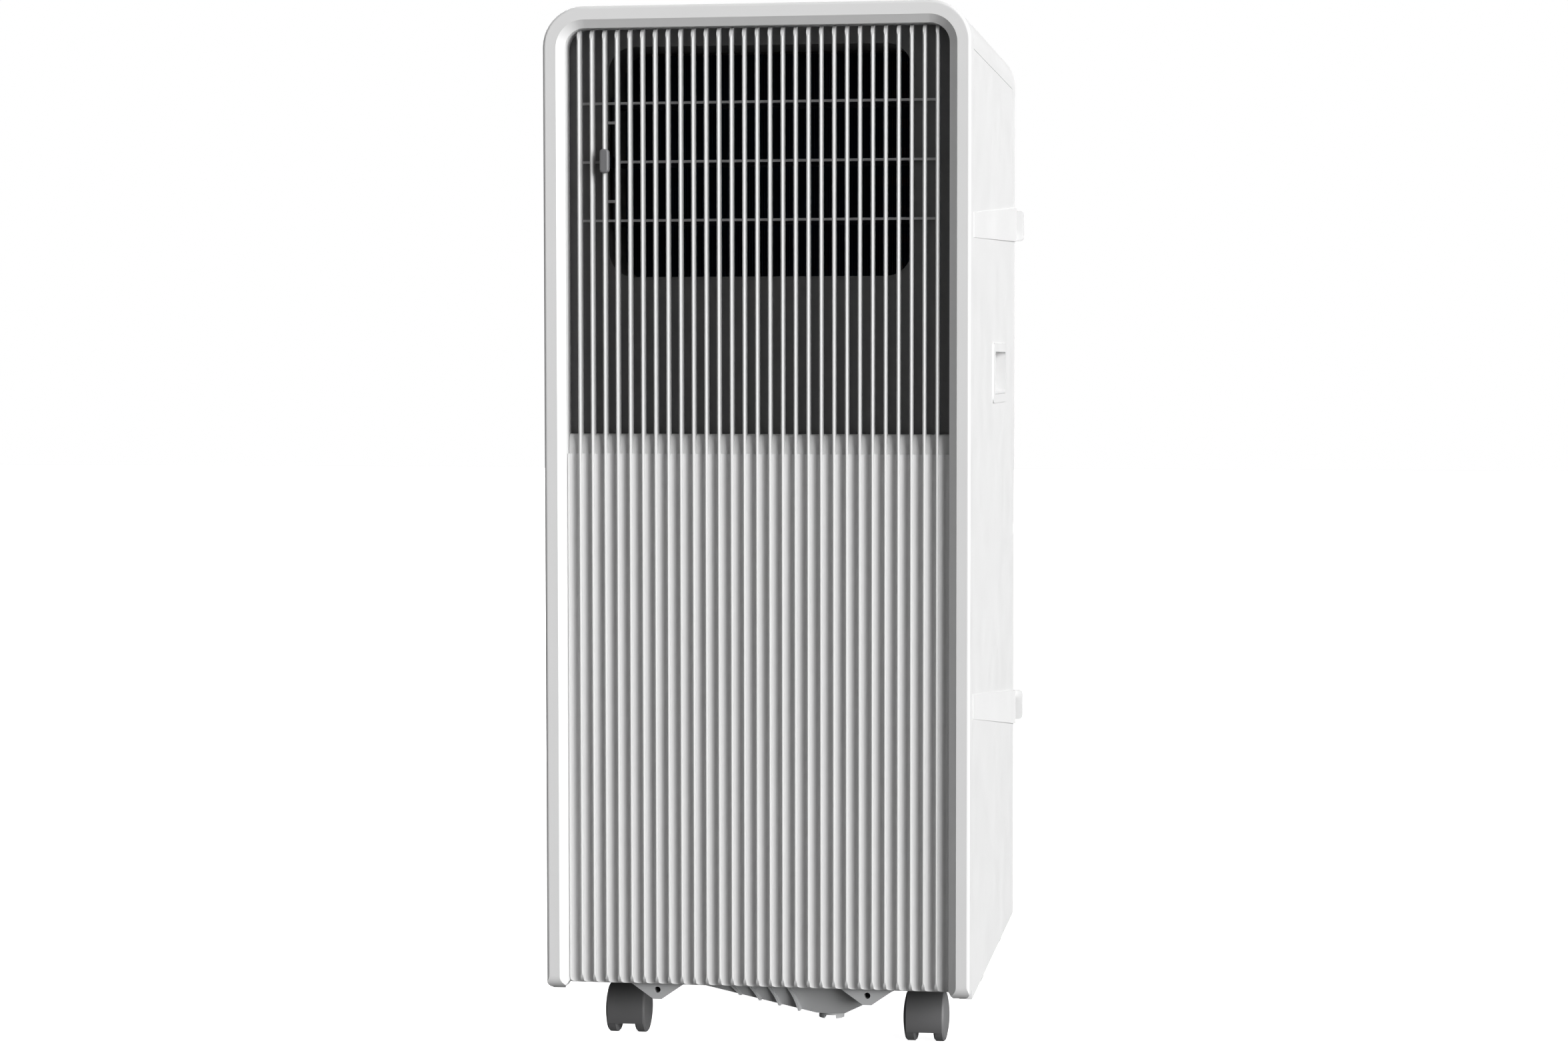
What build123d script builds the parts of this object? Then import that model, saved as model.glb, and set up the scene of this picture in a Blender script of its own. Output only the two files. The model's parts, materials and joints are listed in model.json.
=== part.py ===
"""Portable air conditioner with a ribbed front outlet, on four twin-wheel casters.

Millimetres, +Z up, front facing -Y. The origin is on the floor, under the middle of the unit.
"""

from build123d import *
import os

os.makedirs("parts", exist_ok=True)

# ---- driving dimensions ------------------------------------------------------------------
WIDTH = 300  # casing, side to side
DEPTH = 380  # casing, front face to rear face
TOP = 738  # top of the casing above the floor
FRONT = -202  # Y of the front face
BODY_BOTTOM = 50  # underside of the base pan and of the grille
SHELL_BOTTOM = 44  # lower edge of the side panels and the rear cover
CORNER = 28  # radius of the casing's upper corners
WALL = 2.5  # casing shells
GAP = 0.3  # clearance between pieces
BEZEL_BAR = 15  # width of the front frame's bars
BEZEL_DEPTH = 20
RIB_PITCH = 9
RIB_COUNT = 29
OUTLET_WIDTH = 214
OUTLET_HEIGHT = 161
OUTLET_Z = 630.5  # middle of the air outlet
WHEEL_RADIUS = 18

# ---- planes of the casing ----------------------------------------------------------------
REAR = FRONT + DEPTH
SIDE = WIDTH / 2
BEZEL_BACK = FRONT + BEZEL_DEPTH
REAR_COVER_DEPTH = 28
REAR_COVER_FRONT = REAR - REAR_COVER_DEPTH
SHELL_FRONT = BEZEL_BACK + GAP  # side panels and top cover start here
SHELL_BACK = REAR_COVER_FRONT - GAP
SHELL_DEPTH = SHELL_BACK - SHELL_FRONT
SHELL_MID = (SHELL_FRONT + SHELL_BACK) / 2
TOP_SEAM = TOP - CORNER - 4  # joint between the top cover and the side panels
RECESS_TOP = TOP - BEZEL_BAR
INNER_HALF = SIDE - BEZEL_BAR
HIDDEN = 400  # longer than any cut needs to be


def upright(y):
    """Plane across the unit at depth y: local x is X, local y is Z, extrude(-a) goes back."""
    return Plane.XZ.offset(-y)


def sideways(x):
    """Plane along the unit at X = x: local x is Y, local y is Z."""
    return Plane.YZ.offset(x)


def level(z):
    """Horizontal plane at height z."""
    return Plane.XY.offset(z)


def save(piece, name):
    """Label one finished piece and write its STEP file."""
    piece.label = name
    export_step(piece, f"parts/{name}.step")


# ---- front frame: bevelled bezel, open at the bottom, on two short legs --------------------
LEG_BOTTOM = BODY_BOTTOM - 3
BEVEL_WIDTH = 5.6
BEVEL_DEPTH = 4.3
INNER_CORNER = 14
BEZEL_EDGE = 2.2
FRAME_WALL = 3
LEG_CURL = 9  # radius that rolls the legs' lower ends back
LEG_CORNER = 5  # radius of the legs' outer lower corners
LEG_SPLAY = 4  # how far the legs' inner corners are cut back
FRAME_MID = (LEG_BOTTOM + TOP) / 2
FRAME_HEIGHT = TOP - LEG_BOTTOM

with BuildPart() as front_frame:
    with BuildSketch(upright(FRONT)):
        with Locations((0, FRAME_MID)):
            slab = Rectangle(WIDTH, FRAME_HEIGHT)
        fillet(slab.vertices().group_by(Axis.Y)[-1], radius=CORNER)
    extrude(amount=-BEZEL_DEPTH)
    with BuildSketch(upright(FRONT)):
        with Locations((0, RECESS_TOP - HIDDEN)):
            mouth = Rectangle(2 * INNER_HALF, 2 * HIDDEN)
        fillet(mouth.vertices().group_by(Axis.Y)[-1], radius=INNER_CORNER)
    extrude(amount=-BEZEL_DEPTH, mode=Mode.SUBTRACT)
    face = front_frame.faces().sort_by(Axis.Y)[0]
    rim = face.edges().filter_by(lambda e: e.center().Z > LEG_BOTTOM + 1)
    inner_rim = rim.filter_by(
        lambda e: abs(e.center().X) < INNER_HALF + 1 and e.center().Z < RECESS_TOP + 1
    )
    outer_rim = [e for e in rim if e not in inner_rim]
    chamfer(inner_rim, length=BEVEL_WIDTH, length2=BEVEL_DEPTH, reference=face)
    fillet(outer_rim, radius=BEZEL_EDGE)
    # channel moulded into the back, so that the frame is a shell
    with BuildSketch(upright(BEZEL_BACK)):
        with Locations((0, FRAME_MID)):
            slab = Rectangle(WIDTH - 2 * FRAME_WALL, FRAME_HEIGHT - 2 * FRAME_WALL)
        fillet(slab.vertices().group_by(Axis.Y)[-1], radius=CORNER - FRAME_WALL)
        with Locations((0, RECESS_TOP + FRAME_WALL - HIDDEN)):
            Rectangle(2 * (INNER_HALF + FRAME_WALL), 2 * HIDDEN, mode=Mode.SUBTRACT)
    extrude(amount=BEZEL_DEPTH - BEVEL_DEPTH - 2 * FRAME_WALL, mode=Mode.SUBTRACT)
    # rolled lower ends of the legs
    with BuildSketch(sideways(-SIDE - 1)):
        with BuildLine():
            Line((FRONT - 1, LEG_BOTTOM - 1), (FRONT - 1, LEG_BOTTOM + LEG_CURL))
            Line((FRONT - 1, LEG_BOTTOM + LEG_CURL), (FRONT, LEG_BOTTOM + LEG_CURL))
            RadiusArc((FRONT, LEG_BOTTOM + LEG_CURL), (FRONT + LEG_CURL, LEG_BOTTOM), -LEG_CURL)
            Line((FRONT + LEG_CURL, LEG_BOTTOM), (FRONT + LEG_CURL, LEG_BOTTOM - 1))
            Line((FRONT + LEG_CURL, LEG_BOTTOM - 1), (FRONT - 1, LEG_BOTTOM - 1))
        make_face()
    extrude(amount=WIDTH + 2, mode=Mode.SUBTRACT)
    with BuildSketch(upright(FRONT)):
        with Locations((0, FRAME_MID)):
            outline = Rectangle(WIDTH, FRAME_HEIGHT)
        fillet(outline.vertices().group_by(Axis.Y)[0], radius=LEG_CORNER)
    extrude(amount=-BEZEL_DEPTH, mode=Mode.INTERSECT)
    with BuildSketch(upright(FRONT)):
        with BuildLine():
            Polyline(
                (-INNER_HALF - LEG_SPLAY, LEG_BOTTOM - 1),
                (INNER_HALF + LEG_SPLAY, LEG_BOTTOM - 1),
                (INNER_HALF, LEG_BOTTOM + 5),
                (-INNER_HALF, LEG_BOTTOM + 5),
                close=True,
            )
        make_face()
    extrude(amount=-BEZEL_DEPTH, mode=Mode.SUBTRACT)
save(front_frame.part, "front_frame")

# ---- front grille: ribs, open above and joined by concave grooves below --------------------
CREST = FRONT + 6.5  # Y of the ribs' crests
RIB_BACK = CREST + 10.1
RIB_THICKNESS = 2.1
GROOVE_RADIUS = 4.05
GROOVE_DEPTH = 4.8
PANEL_TOP = 440  # the grooved lower panel ends here
PANEL_ROLL = 14  # height over which the panel's upper edge curves back
RIB_TOP_RADIUS = 8.5
BOTTOM_ROLL = 8  # radius of the panel's lower edge
GRILLE_HALF = INNER_HALF - GAP
rib_depth = RIB_BACK - CREST - RIB_THICKNESS / 2

with BuildPart() as front_grille:
    with BuildSketch(level(BODY_BOTTOM)):
        panel_front = CREST + 0.4
        with Locations((0, (panel_front + RIB_BACK) / 2)):
            Rectangle(2 * GRILLE_HALF, RIB_BACK - panel_front)
        with Locations((0, CREST + GROOVE_DEPTH - GROOVE_RADIUS)):
            with GridLocations(RIB_PITCH, 0, RIB_COUNT + 1, 1):
                Circle(GROOVE_RADIUS, mode=Mode.SUBTRACT)
    extrude(amount=PANEL_TOP - BODY_BOTTOM)
    # the panel's upper edge rolls back into the recess
    groove_bottom = CREST + GROOVE_DEPTH
    roll_depth = RIB_BACK - groove_bottom
    with BuildSketch(sideways(-SIDE)):
        with BuildLine():
            Line((FRONT, PANEL_TOP - PANEL_ROLL), (FRONT, PANEL_TOP + 1))
            Line((FRONT, PANEL_TOP + 1), (RIB_BACK, PANEL_TOP + 1))
            Line((RIB_BACK, PANEL_TOP + 1), (RIB_BACK, PANEL_TOP))
            Spline(
                (RIB_BACK, PANEL_TOP),
                (RIB_BACK - 0.7071 * roll_depth, PANEL_TOP - 0.2929 * PANEL_ROLL),
                (groove_bottom, PANEL_TOP - PANEL_ROLL),
                tangents=((-1, 0), (0, -1)),
            )
            Line((groove_bottom, PANEL_TOP - PANEL_ROLL), (FRONT, PANEL_TOP - PANEL_ROLL))
        make_face()
    extrude(amount=WIDTH, mode=Mode.SUBTRACT)
    # upright ribs with rounded crests over the full height
    with BuildSketch(level(BODY_BOTTOM)):
        with Locations((0, RIB_BACK - rib_depth / 2)):
            with GridLocations(RIB_PITCH, 0, RIB_COUNT, 1):
                Rectangle(RIB_THICKNESS, rib_depth)
        with Locations((0, CREST + RIB_THICKNESS / 2)):
            with GridLocations(RIB_PITCH, 0, RIB_COUNT, 1):
                Circle(RIB_THICKNESS / 2)
    extrude(amount=RECESS_TOP - GAP - BODY_BOTTOM)
    # the ribs' upper ends curve back
    rib_top = RECESS_TOP - GAP
    with BuildSketch(sideways(-SIDE)):
        with BuildLine():
            Line((FRONT, rib_top - RIB_TOP_RADIUS), (FRONT, rib_top + 1))
            Line((FRONT, rib_top + 1), (CREST + RIB_TOP_RADIUS, rib_top + 1))
            Line((CREST + RIB_TOP_RADIUS, rib_top + 1), (CREST + RIB_TOP_RADIUS, rib_top))
            RadiusArc(
                (CREST + RIB_TOP_RADIUS, rib_top),
                (CREST, rib_top - RIB_TOP_RADIUS),
                -RIB_TOP_RADIUS,
            )
            Line((CREST, rib_top - RIB_TOP_RADIUS), (FRONT, rib_top - RIB_TOP_RADIUS))
        make_face()
    extrude(amount=WIDTH, mode=Mode.SUBTRACT)
    # the lower edge rolls under
    with BuildSketch(sideways(-SIDE)):
        with BuildLine():
            Line((FRONT, BODY_BOTTOM + BOTTOM_ROLL), (FRONT, BODY_BOTTOM - 1))
            Line((FRONT, BODY_BOTTOM - 1), (CREST + BOTTOM_ROLL, BODY_BOTTOM - 1))
            Line((CREST + BOTTOM_ROLL, BODY_BOTTOM - 1), (CREST + BOTTOM_ROLL, BODY_BOTTOM))
            RadiusArc(
                (CREST + BOTTOM_ROLL, BODY_BOTTOM), (CREST, BODY_BOTTOM + BOTTOM_ROLL), BOTTOM_ROLL
            )
            Line((CREST, BODY_BOTTOM + BOTTOM_ROLL), (FRONT, BODY_BOTTOM + BOTTOM_ROLL))
        make_face()
    extrude(amount=WIDTH, mode=Mode.SUBTRACT)
    # everything stays inside the frame's rounded mouth
    with BuildSketch(upright(FRONT)):
        with Locations((0, rib_top - HIDDEN)):
            mouth = Rectangle(2 * GRILLE_HALF, 2 * HIDDEN)
        fillet(mouth.vertices().group_by(Axis.Y)[-1], radius=INNER_CORNER)
    extrude(amount=-BEZEL_DEPTH, mode=Mode.INTERSECT)
save(front_grille.part, "front_grille")

# ---- cross bars behind the ribs, with the two ties that frame the knob's slot --------------
BAR_PITCH = 41
BAR_HALF = 125.5
BAR_HEIGHT = 1.7
BAR_THICKNESS = 1.8
BAR_FRONT = RIB_BACK + 0.2
KNOB_RIB_X = -12 * RIB_PITCH  # the rib that carries the knob
KNOB_GAP_X = KNOB_RIB_X + RIB_PITCH / 2  # middle of the gap that the knob's arm runs in
SLOT_HALF_HEIGHT = 27.5
BAR_FOOT = 10
slot_left = KNOB_RIB_X + 0.6
slot_right = KNOB_RIB_X + RIB_PITCH - 0.6
bar_mid = BAR_FRONT + BAR_THICKNESS / 2

with BuildPart() as grille_cross_bars:
    for step in (-1, 0, 1):
        bar_z = OUTLET_Z + step * BAR_PITCH
        with Locations((0, bar_mid, bar_z)):
            Box(2 * BAR_HALF, BAR_THICKNESS, BAR_HEIGHT)
        foot_depth = BEZEL_BACK - BAR_FRONT
        for foot_x in (-BAR_HALF + BAR_FOOT / 2, BAR_HALF - BAR_FOOT / 2):
            with Locations((foot_x, BAR_FRONT + foot_depth / 2, bar_z)):
                Box(BAR_FOOT, foot_depth, BAR_HEIGHT)
    with Locations((KNOB_GAP_X, bar_mid, OUTLET_Z)):
        Box(slot_right - slot_left, 2 * BAR_THICKNESS, 2 * BAR_HEIGHT, mode=Mode.SUBTRACT)
    # two ties and two side strips frame the slot
    for step in (-1, 1):
        with Locations((KNOB_GAP_X, bar_mid, OUTLET_Z + step * SLOT_HALF_HEIGHT)):
            Box(RIB_PITCH + 1, BAR_THICKNESS, 2)
        strip_x = KNOB_GAP_X + step * (RIB_PITCH / 2)
        with Locations((strip_x, bar_mid, OUTLET_Z)):
            Box(1.2, BAR_THICKNESS, 2 * SLOT_HALF_HEIGHT)
save(grille_cross_bars.part, "grille_cross_bars")

# ---- baffle: dark plate that closes the recess round the outlet ----------------------------
BAFFLE_THICKNESS = 2.5
BAFFLE_BOTTOM = 418
OUTLET_CORNER = 18
BAFFLE_HALF = INNER_HALF + 5.5
BAFFLE_TOP = TOP - 6

with BuildPart() as front_baffle:
    with BuildSketch(upright(BEZEL_BACK)):
        with Locations((0, (BAFFLE_BOTTOM + BAFFLE_TOP) / 2)):
            plate = Rectangle(2 * BAFFLE_HALF, BAFFLE_TOP - BAFFLE_BOTTOM)
        fillet(plate.vertices().group_by(Axis.Y)[-1], radius=CORNER - 6)
        with Locations((0, OUTLET_Z)):
            RectangleRounded(OUTLET_WIDTH, OUTLET_HEIGHT, OUTLET_CORNER, mode=Mode.SUBTRACT)
    extrude(amount=-BAFFLE_THICKNESS)
save(front_baffle.part, "front_baffle")
BAFFLE_BACK = BEZEL_BACK + BAFFLE_THICKNESS

# ---- outlet duct, from the baffle back to the evaporator -----------------------------------
DUCT_LENGTH = 62
DUCT_WALL = 2.5
DUCT_CLEAR = 1  # the duct is this much wider than the outlet on each side
LOUVRE_Y = FRONT + 56  # pivot of the louvre blades
SHAFT_RADIUS = 2
SHAFT_CLEAR = 0.06
duct_inner_width = OUTLET_WIDTH + 2 * DUCT_CLEAR
duct_inner_height = OUTLET_HEIGHT + 2 * DUCT_CLEAR
louvre_heights = [OUTLET_Z + step * BAR_PITCH for step in (-1, 0, 1)]

with BuildPart() as outlet_duct:
    with BuildSketch(upright(BAFFLE_BACK)):
        with Locations((0, OUTLET_Z)):
            RectangleRounded(
                duct_inner_width + 2 * DUCT_WALL,
                duct_inner_height + 2 * DUCT_WALL,
                OUTLET_CORNER + DUCT_WALL,
            )
            RectangleRounded(
                duct_inner_width, duct_inner_height, OUTLET_CORNER, mode=Mode.SUBTRACT
            )
    extrude(amount=-DUCT_LENGTH)
    with BuildSketch(sideways(-SIDE)):
        with Locations(*[(LOUVRE_Y, z) for z in louvre_heights]):
            Circle(SHAFT_RADIUS + SHAFT_CLEAR)
    extrude(amount=WIDTH, mode=Mode.SUBTRACT)
save(outlet_duct.part, "outlet_duct")
DUCT_BACK = BAFFLE_BACK + DUCT_LENGTH

# ---- louvre blades: one shaft each, with a crank on the left end ---------------------------
BLADE_CHORD = 36
BLADE_THICKNESS = 2.4
BLADE_HALF = 102.5
CRANK_RADIUS = 24
PIN_RADIUS = 1.4
EAR_THICKNESS = 1.6
shaft_half = duct_inner_width / 2 + DUCT_WALL - 0.2
blade_left = -BLADE_HALF - EAR_THICKNESS

for name, blade_z in zip(("lower", "middle", "upper"), louvre_heights):
    with BuildPart() as louvre_blade:
        with BuildSketch(sideways(-BLADE_HALF)):
            with Locations((LOUVRE_Y, blade_z)):
                Ellipse(BLADE_CHORD / 2, BLADE_THICKNESS / 2)
        extrude(amount=2 * BLADE_HALF)
        with BuildSketch(sideways(-shaft_half)):
            with Locations((LOUVRE_Y, blade_z)):
                Circle(SHAFT_RADIUS)
        extrude(amount=2 * shaft_half)
        with BuildSketch(sideways(blade_left)):
            with Locations((LOUVRE_Y - CRANK_RADIUS / 2, blade_z)):
                SlotCenterToCenter(CRANK_RADIUS, 2 * SHAFT_RADIUS + 1)
        extrude(amount=EAR_THICKNESS)
        with BuildSketch(sideways(blade_left)):
            with Locations((LOUVRE_Y - CRANK_RADIUS, blade_z)):
                Circle(PIN_RADIUS)
        extrude(amount=-2.8)
    save(louvre_blade.part, f"louvre_blade_{name}")

# ---- link plate: three slots on the crank pins, and the arm that leads out to the knob -----
LINK_THICKNESS = 1.6
LINK_X = blade_left - 0.4 - LINK_THICKNESS  # left face of the link
LINK_WIDTH = 11
PIN_PLAY = 0.45
PIN_SWING = 3.3  # how far a crank pin moves back at full tilt
ARM_HEIGHT = 8
KNOB_FACE = FRONT + 1.2
KNOB_BACK = CREST - GAP - 0.1
pin_y = LOUVRE_Y - CRANK_RADIUS
link_height = 2 * BAR_PITCH + 12
slot_length = PIN_SWING + 2 * (PIN_RADIUS + PIN_PLAY)
link_front = pin_y - LINK_WIDTH / 2 + PIN_SWING / 2

with BuildPart() as louvre_link:
    with BuildSketch(sideways(LINK_X)):
        with Locations((pin_y + PIN_SWING / 2, OUTLET_Z)):
            RectangleRounded(LINK_WIDTH, link_height, 3)
        arm_length = link_front + 2 - (KNOB_BACK - 1)
        with Locations((KNOB_BACK - 1 + arm_length / 2, OUTLET_Z)):
            Rectangle(arm_length, ARM_HEIGHT)
        with Locations(*[(pin_y + PIN_SWING / 2, z) for z in louvre_heights]):
            SlotOverall(slot_length, 2 * (PIN_RADIUS + PIN_PLAY), mode=Mode.SUBTRACT)
    extrude(amount=LINK_THICKNESS)
save(louvre_link.part, "louvre_link")

# ---- knob: small finger piece in front of the ribs -----------------------------------------
KNOB_WIDTH = 6.4
KNOB_HEIGHT = 16.5
knob_x = LINK_X + LINK_THICKNESS - KNOB_WIDTH / 2 + 0.8

with BuildPart() as louvre_knob:
    with BuildSketch(upright(KNOB_BACK)):
        with Locations((knob_x, OUTLET_Z)):
            RectangleRounded(KNOB_WIDTH, KNOB_HEIGHT, 2.4)
    extrude(amount=KNOB_BACK - KNOB_FACE)
    fillet(louvre_knob.faces().sort_by(Axis.Y)[0].edges(), radius=1.2)
    with BuildSketch(sideways(LINK_X)):
        with Locations((KNOB_BACK - 0.5, OUTLET_Z)):
            Rectangle(1, ARM_HEIGHT)
    extrude(amount=LINK_THICKNESS, mode=Mode.SUBTRACT)
save(louvre_knob.part, "louvre_knob")

# ---- side panels: flanged plates with a handle opening ------------------------------------
HANDLE_LENGTH = 91
HANDLE_HEIGHT = 32
HANDLE_Y = 30.5
HANDLE_Z = 481.8
HANDLE_ROOM = 5  # the panel's opening is this much larger than the recess
COLLAR_DEPTH = 8
COLLAR_WALL = 2
FLANGE = 9
panel_height = TOP_SEAM - GAP - SHELL_BOTTOM
panel_mid = SHELL_BOTTOM + panel_height / 2

for name, sign in (("right", 1), ("left", -1)):
    with BuildPart() as side_panel:
        with Locations((sign * (SIDE - WALL / 2), SHELL_MID, panel_mid)):
            Box(WALL, SHELL_DEPTH, panel_height)
        for flange_y in (SHELL_FRONT + WALL / 2, SHELL_BACK - WALL / 2):
            with Locations((sign * (SIDE - FLANGE / 2), flange_y, panel_mid)):
                Box(FLANGE, WALL, panel_height)
        # stiffening collar behind the handle opening
        with Locations((sign * (SIDE - WALL - COLLAR_DEPTH / 2), HANDLE_Y, HANDLE_Z)):
            Box(
                COLLAR_DEPTH,
                HANDLE_LENGTH + HANDLE_ROOM + 2 * COLLAR_WALL,
                HANDLE_HEIGHT + HANDLE_ROOM + 2 * COLLAR_WALL,
            )
        with BuildSketch(sideways(-SIDE - 1)):
            with Locations((HANDLE_Y, HANDLE_Z)):
                RectangleRounded(HANDLE_LENGTH + HANDLE_ROOM, HANDLE_HEIGHT + HANDLE_ROOM, 5)
        extrude(amount=WIDTH + 2, mode=Mode.SUBTRACT)
    save(side_panel.part, f"side_panel_{name}")

# ---- handle cups: pockets with a raised lip ------------------------------------------------
CUP_DEPTH = 27
CUP_WALL = 2.2
LIP_LENGTH = 117
LIP_HEIGHT = 45
LIP_THICKNESS = 1.1

for name, sign in (("right", 1), ("left", -1)):
    with BuildPart() as handle_cup:
        with BuildSketch(sideways(sign * SIDE)):
            with Locations((HANDLE_Y, HANDLE_Z)):
                RectangleRounded(LIP_LENGTH, LIP_HEIGHT, 6)
        extrude(amount=sign * LIP_THICKNESS, taper=12)
        with BuildSketch(sideways(sign * SIDE)):
            with Locations((HANDLE_Y, HANDLE_Z)):
                RectangleRounded(HANDLE_LENGTH + 2 * CUP_WALL, HANDLE_HEIGHT + 2 * CUP_WALL, 4.5)
        extrude(amount=-sign * CUP_DEPTH)
        with BuildSketch(sideways(sign * (SIDE + LIP_THICKNESS))):
            with Locations((HANDLE_Y, HANDLE_Z)):
                RectangleRounded(HANDLE_LENGTH, HANDLE_HEIGHT, 4)
        extrude(amount=-sign * (CUP_DEPTH + LIP_THICKNESS - CUP_WALL), mode=Mode.SUBTRACT)
    save(handle_cup.part, f"handle_cup_{name}")

# ---- top cover with rounded shoulders and a pocket for the controls ------------------------
CONTROL_WIDTH = 196
CONTROL_DEPTH = 66
CONTROL_Y = SHELL_FRONT + 58
OVERLAY_THICKNESS = 2
POCKET_WALL = 2
BUTTON_RADIUS = 7
BUTTON_PITCH = 26
BUTTON_COUNT = 5
BUTTON_Y = CONTROL_Y - 17
BUTTON_TRAVEL = 1.2
BUTTON_NAMES = ("power", "mode", "speed", "up", "down")
button_xs = [(n - (BUTTON_COUNT - 1) / 2) * BUTTON_PITCH for n in range(BUTTON_COUNT)]
shoulder_height = TOP - TOP_SEAM

with BuildPart() as top_cover:
    with BuildSketch(upright(SHELL_FRONT)):
        with Locations((0, TOP - shoulder_height / 2)):
            arch = Rectangle(WIDTH, shoulder_height)
        fillet(arch.vertices().group_by(Axis.Y)[-1], radius=CORNER)
    extrude(amount=-SHELL_DEPTH)
    with BuildSketch(upright(SHELL_FRONT)):
        with Locations((0, TOP - WALL - shoulder_height / 2)):
            arch = Rectangle(WIDTH - 2 * WALL, shoulder_height)
        fillet(arch.vertices().group_by(Axis.Y)[-1], radius=CORNER - WALL)
    extrude(amount=-(SHELL_DEPTH - WALL), mode=Mode.SUBTRACT)
    with Locations((0, CONTROL_Y, TOP - WALL)):
        Box(CONTROL_WIDTH + 6, CONTROL_DEPTH + 6, 2 * POCKET_WALL)
    with BuildSketch(level(TOP)):
        with Locations((0, CONTROL_Y)):
            RectangleRounded(CONTROL_WIDTH + 2 * GAP, CONTROL_DEPTH + 2 * GAP, 6)
    extrude(amount=-OVERLAY_THICKNESS, mode=Mode.SUBTRACT)
    with BuildSketch(level(TOP)):
        with Locations(*[(x, BUTTON_Y) for x in button_xs]):
            Circle(BUTTON_RADIUS - 1.5)
    extrude(amount=-10, mode=Mode.SUBTRACT)
    # nothing of the shell stands above the casing's top
    with Locations((0, CONTROL_Y, TOP + 5)):
        Box(2 * SIDE, DEPTH, 10, mode=Mode.SUBTRACT)
save(top_cover.part, "top_cover")

# ---- control overlay: gloss plate with the display and round button holes ------------------
with BuildPart() as control_overlay:
    with BuildSketch(level(TOP - OVERLAY_THICKNESS)):
        with Locations((0, CONTROL_Y)):
            RectangleRounded(CONTROL_WIDTH, CONTROL_DEPTH, 6 - GAP)
        with Locations(*[(x, BUTTON_Y) for x in button_xs]):
            Circle(BUTTON_RADIUS + 0.25, mode=Mode.SUBTRACT)
    extrude(amount=OVERLAY_THICKNESS)
save(control_overlay.part, "control_overlay")

# ---- push buttons, each with a plunger through the top cover -------------------------------
BUTTON_PROUD = 1.6

for name, x in zip(BUTTON_NAMES, button_xs):
    with BuildPart() as button:
        cap_bottom = TOP - OVERLAY_THICKNESS + BUTTON_TRAVEL + GAP
        cap_height = TOP + BUTTON_PROUD - cap_bottom
        with Locations((x, BUTTON_Y, cap_bottom)):
            Cylinder(
                BUTTON_RADIUS, cap_height, align=(Align.CENTER, Align.CENTER, Align.MIN)
            )
        fillet(button.faces().sort_by(Axis.Z)[-1].edges(), radius=0.8)
        with Locations((x, BUTTON_Y, cap_bottom)):
            Cylinder(
                BUTTON_RADIUS - 3, 9, align=(Align.CENTER, Align.CENTER, Align.MAX)
            )
    save(button.part, f"button_{name}")

# ---- rear cover: shell with two slatted intakes, the exhaust hole and the filter slots -----
UPPER_INTAKE = (546, 704)  # heights
LOWER_INTAKE = (108, 376)
INTAKE_WIDTH = 214
SLAT_PITCH = 9
SLAT_HEIGHT = 2.6
EXHAUST_Z = 453
EXHAUST_RADIUS = 64  # outside of the collar, for the hose adapter
COLLAR_WALL = 3
FILTER_THICKNESS = 4.5
FILTER_Y = REAR - 12  # middle of the filters
RAIL_WALL = 2
NOTCH_Z = 357
GLAND_X, GLAND_Z = 104, 82
GLAND_HOLE_RADIUS = 7.2
SPIGOT_X = -104
SPIGOT_ZS = (82, 422)
SPIGOT_LENGTH = 6
SPIGOT_WALL = 3
PLUG_RADIUS = 6
SCREW_RADIUS = 1.9
SCREW_LENGTH = 6
rear_screw_places = [(x, z) for x in (-132, 132) for z in (74, 248, 528, 720)]
rear_height = TOP - SHELL_BOTTOM
rear_mid = (TOP + SHELL_BOTTOM) / 2


def filter_band(low, high):
    """Lowest and highest Z of the filter that serves an intake."""
    return low - 7, high + 7


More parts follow.
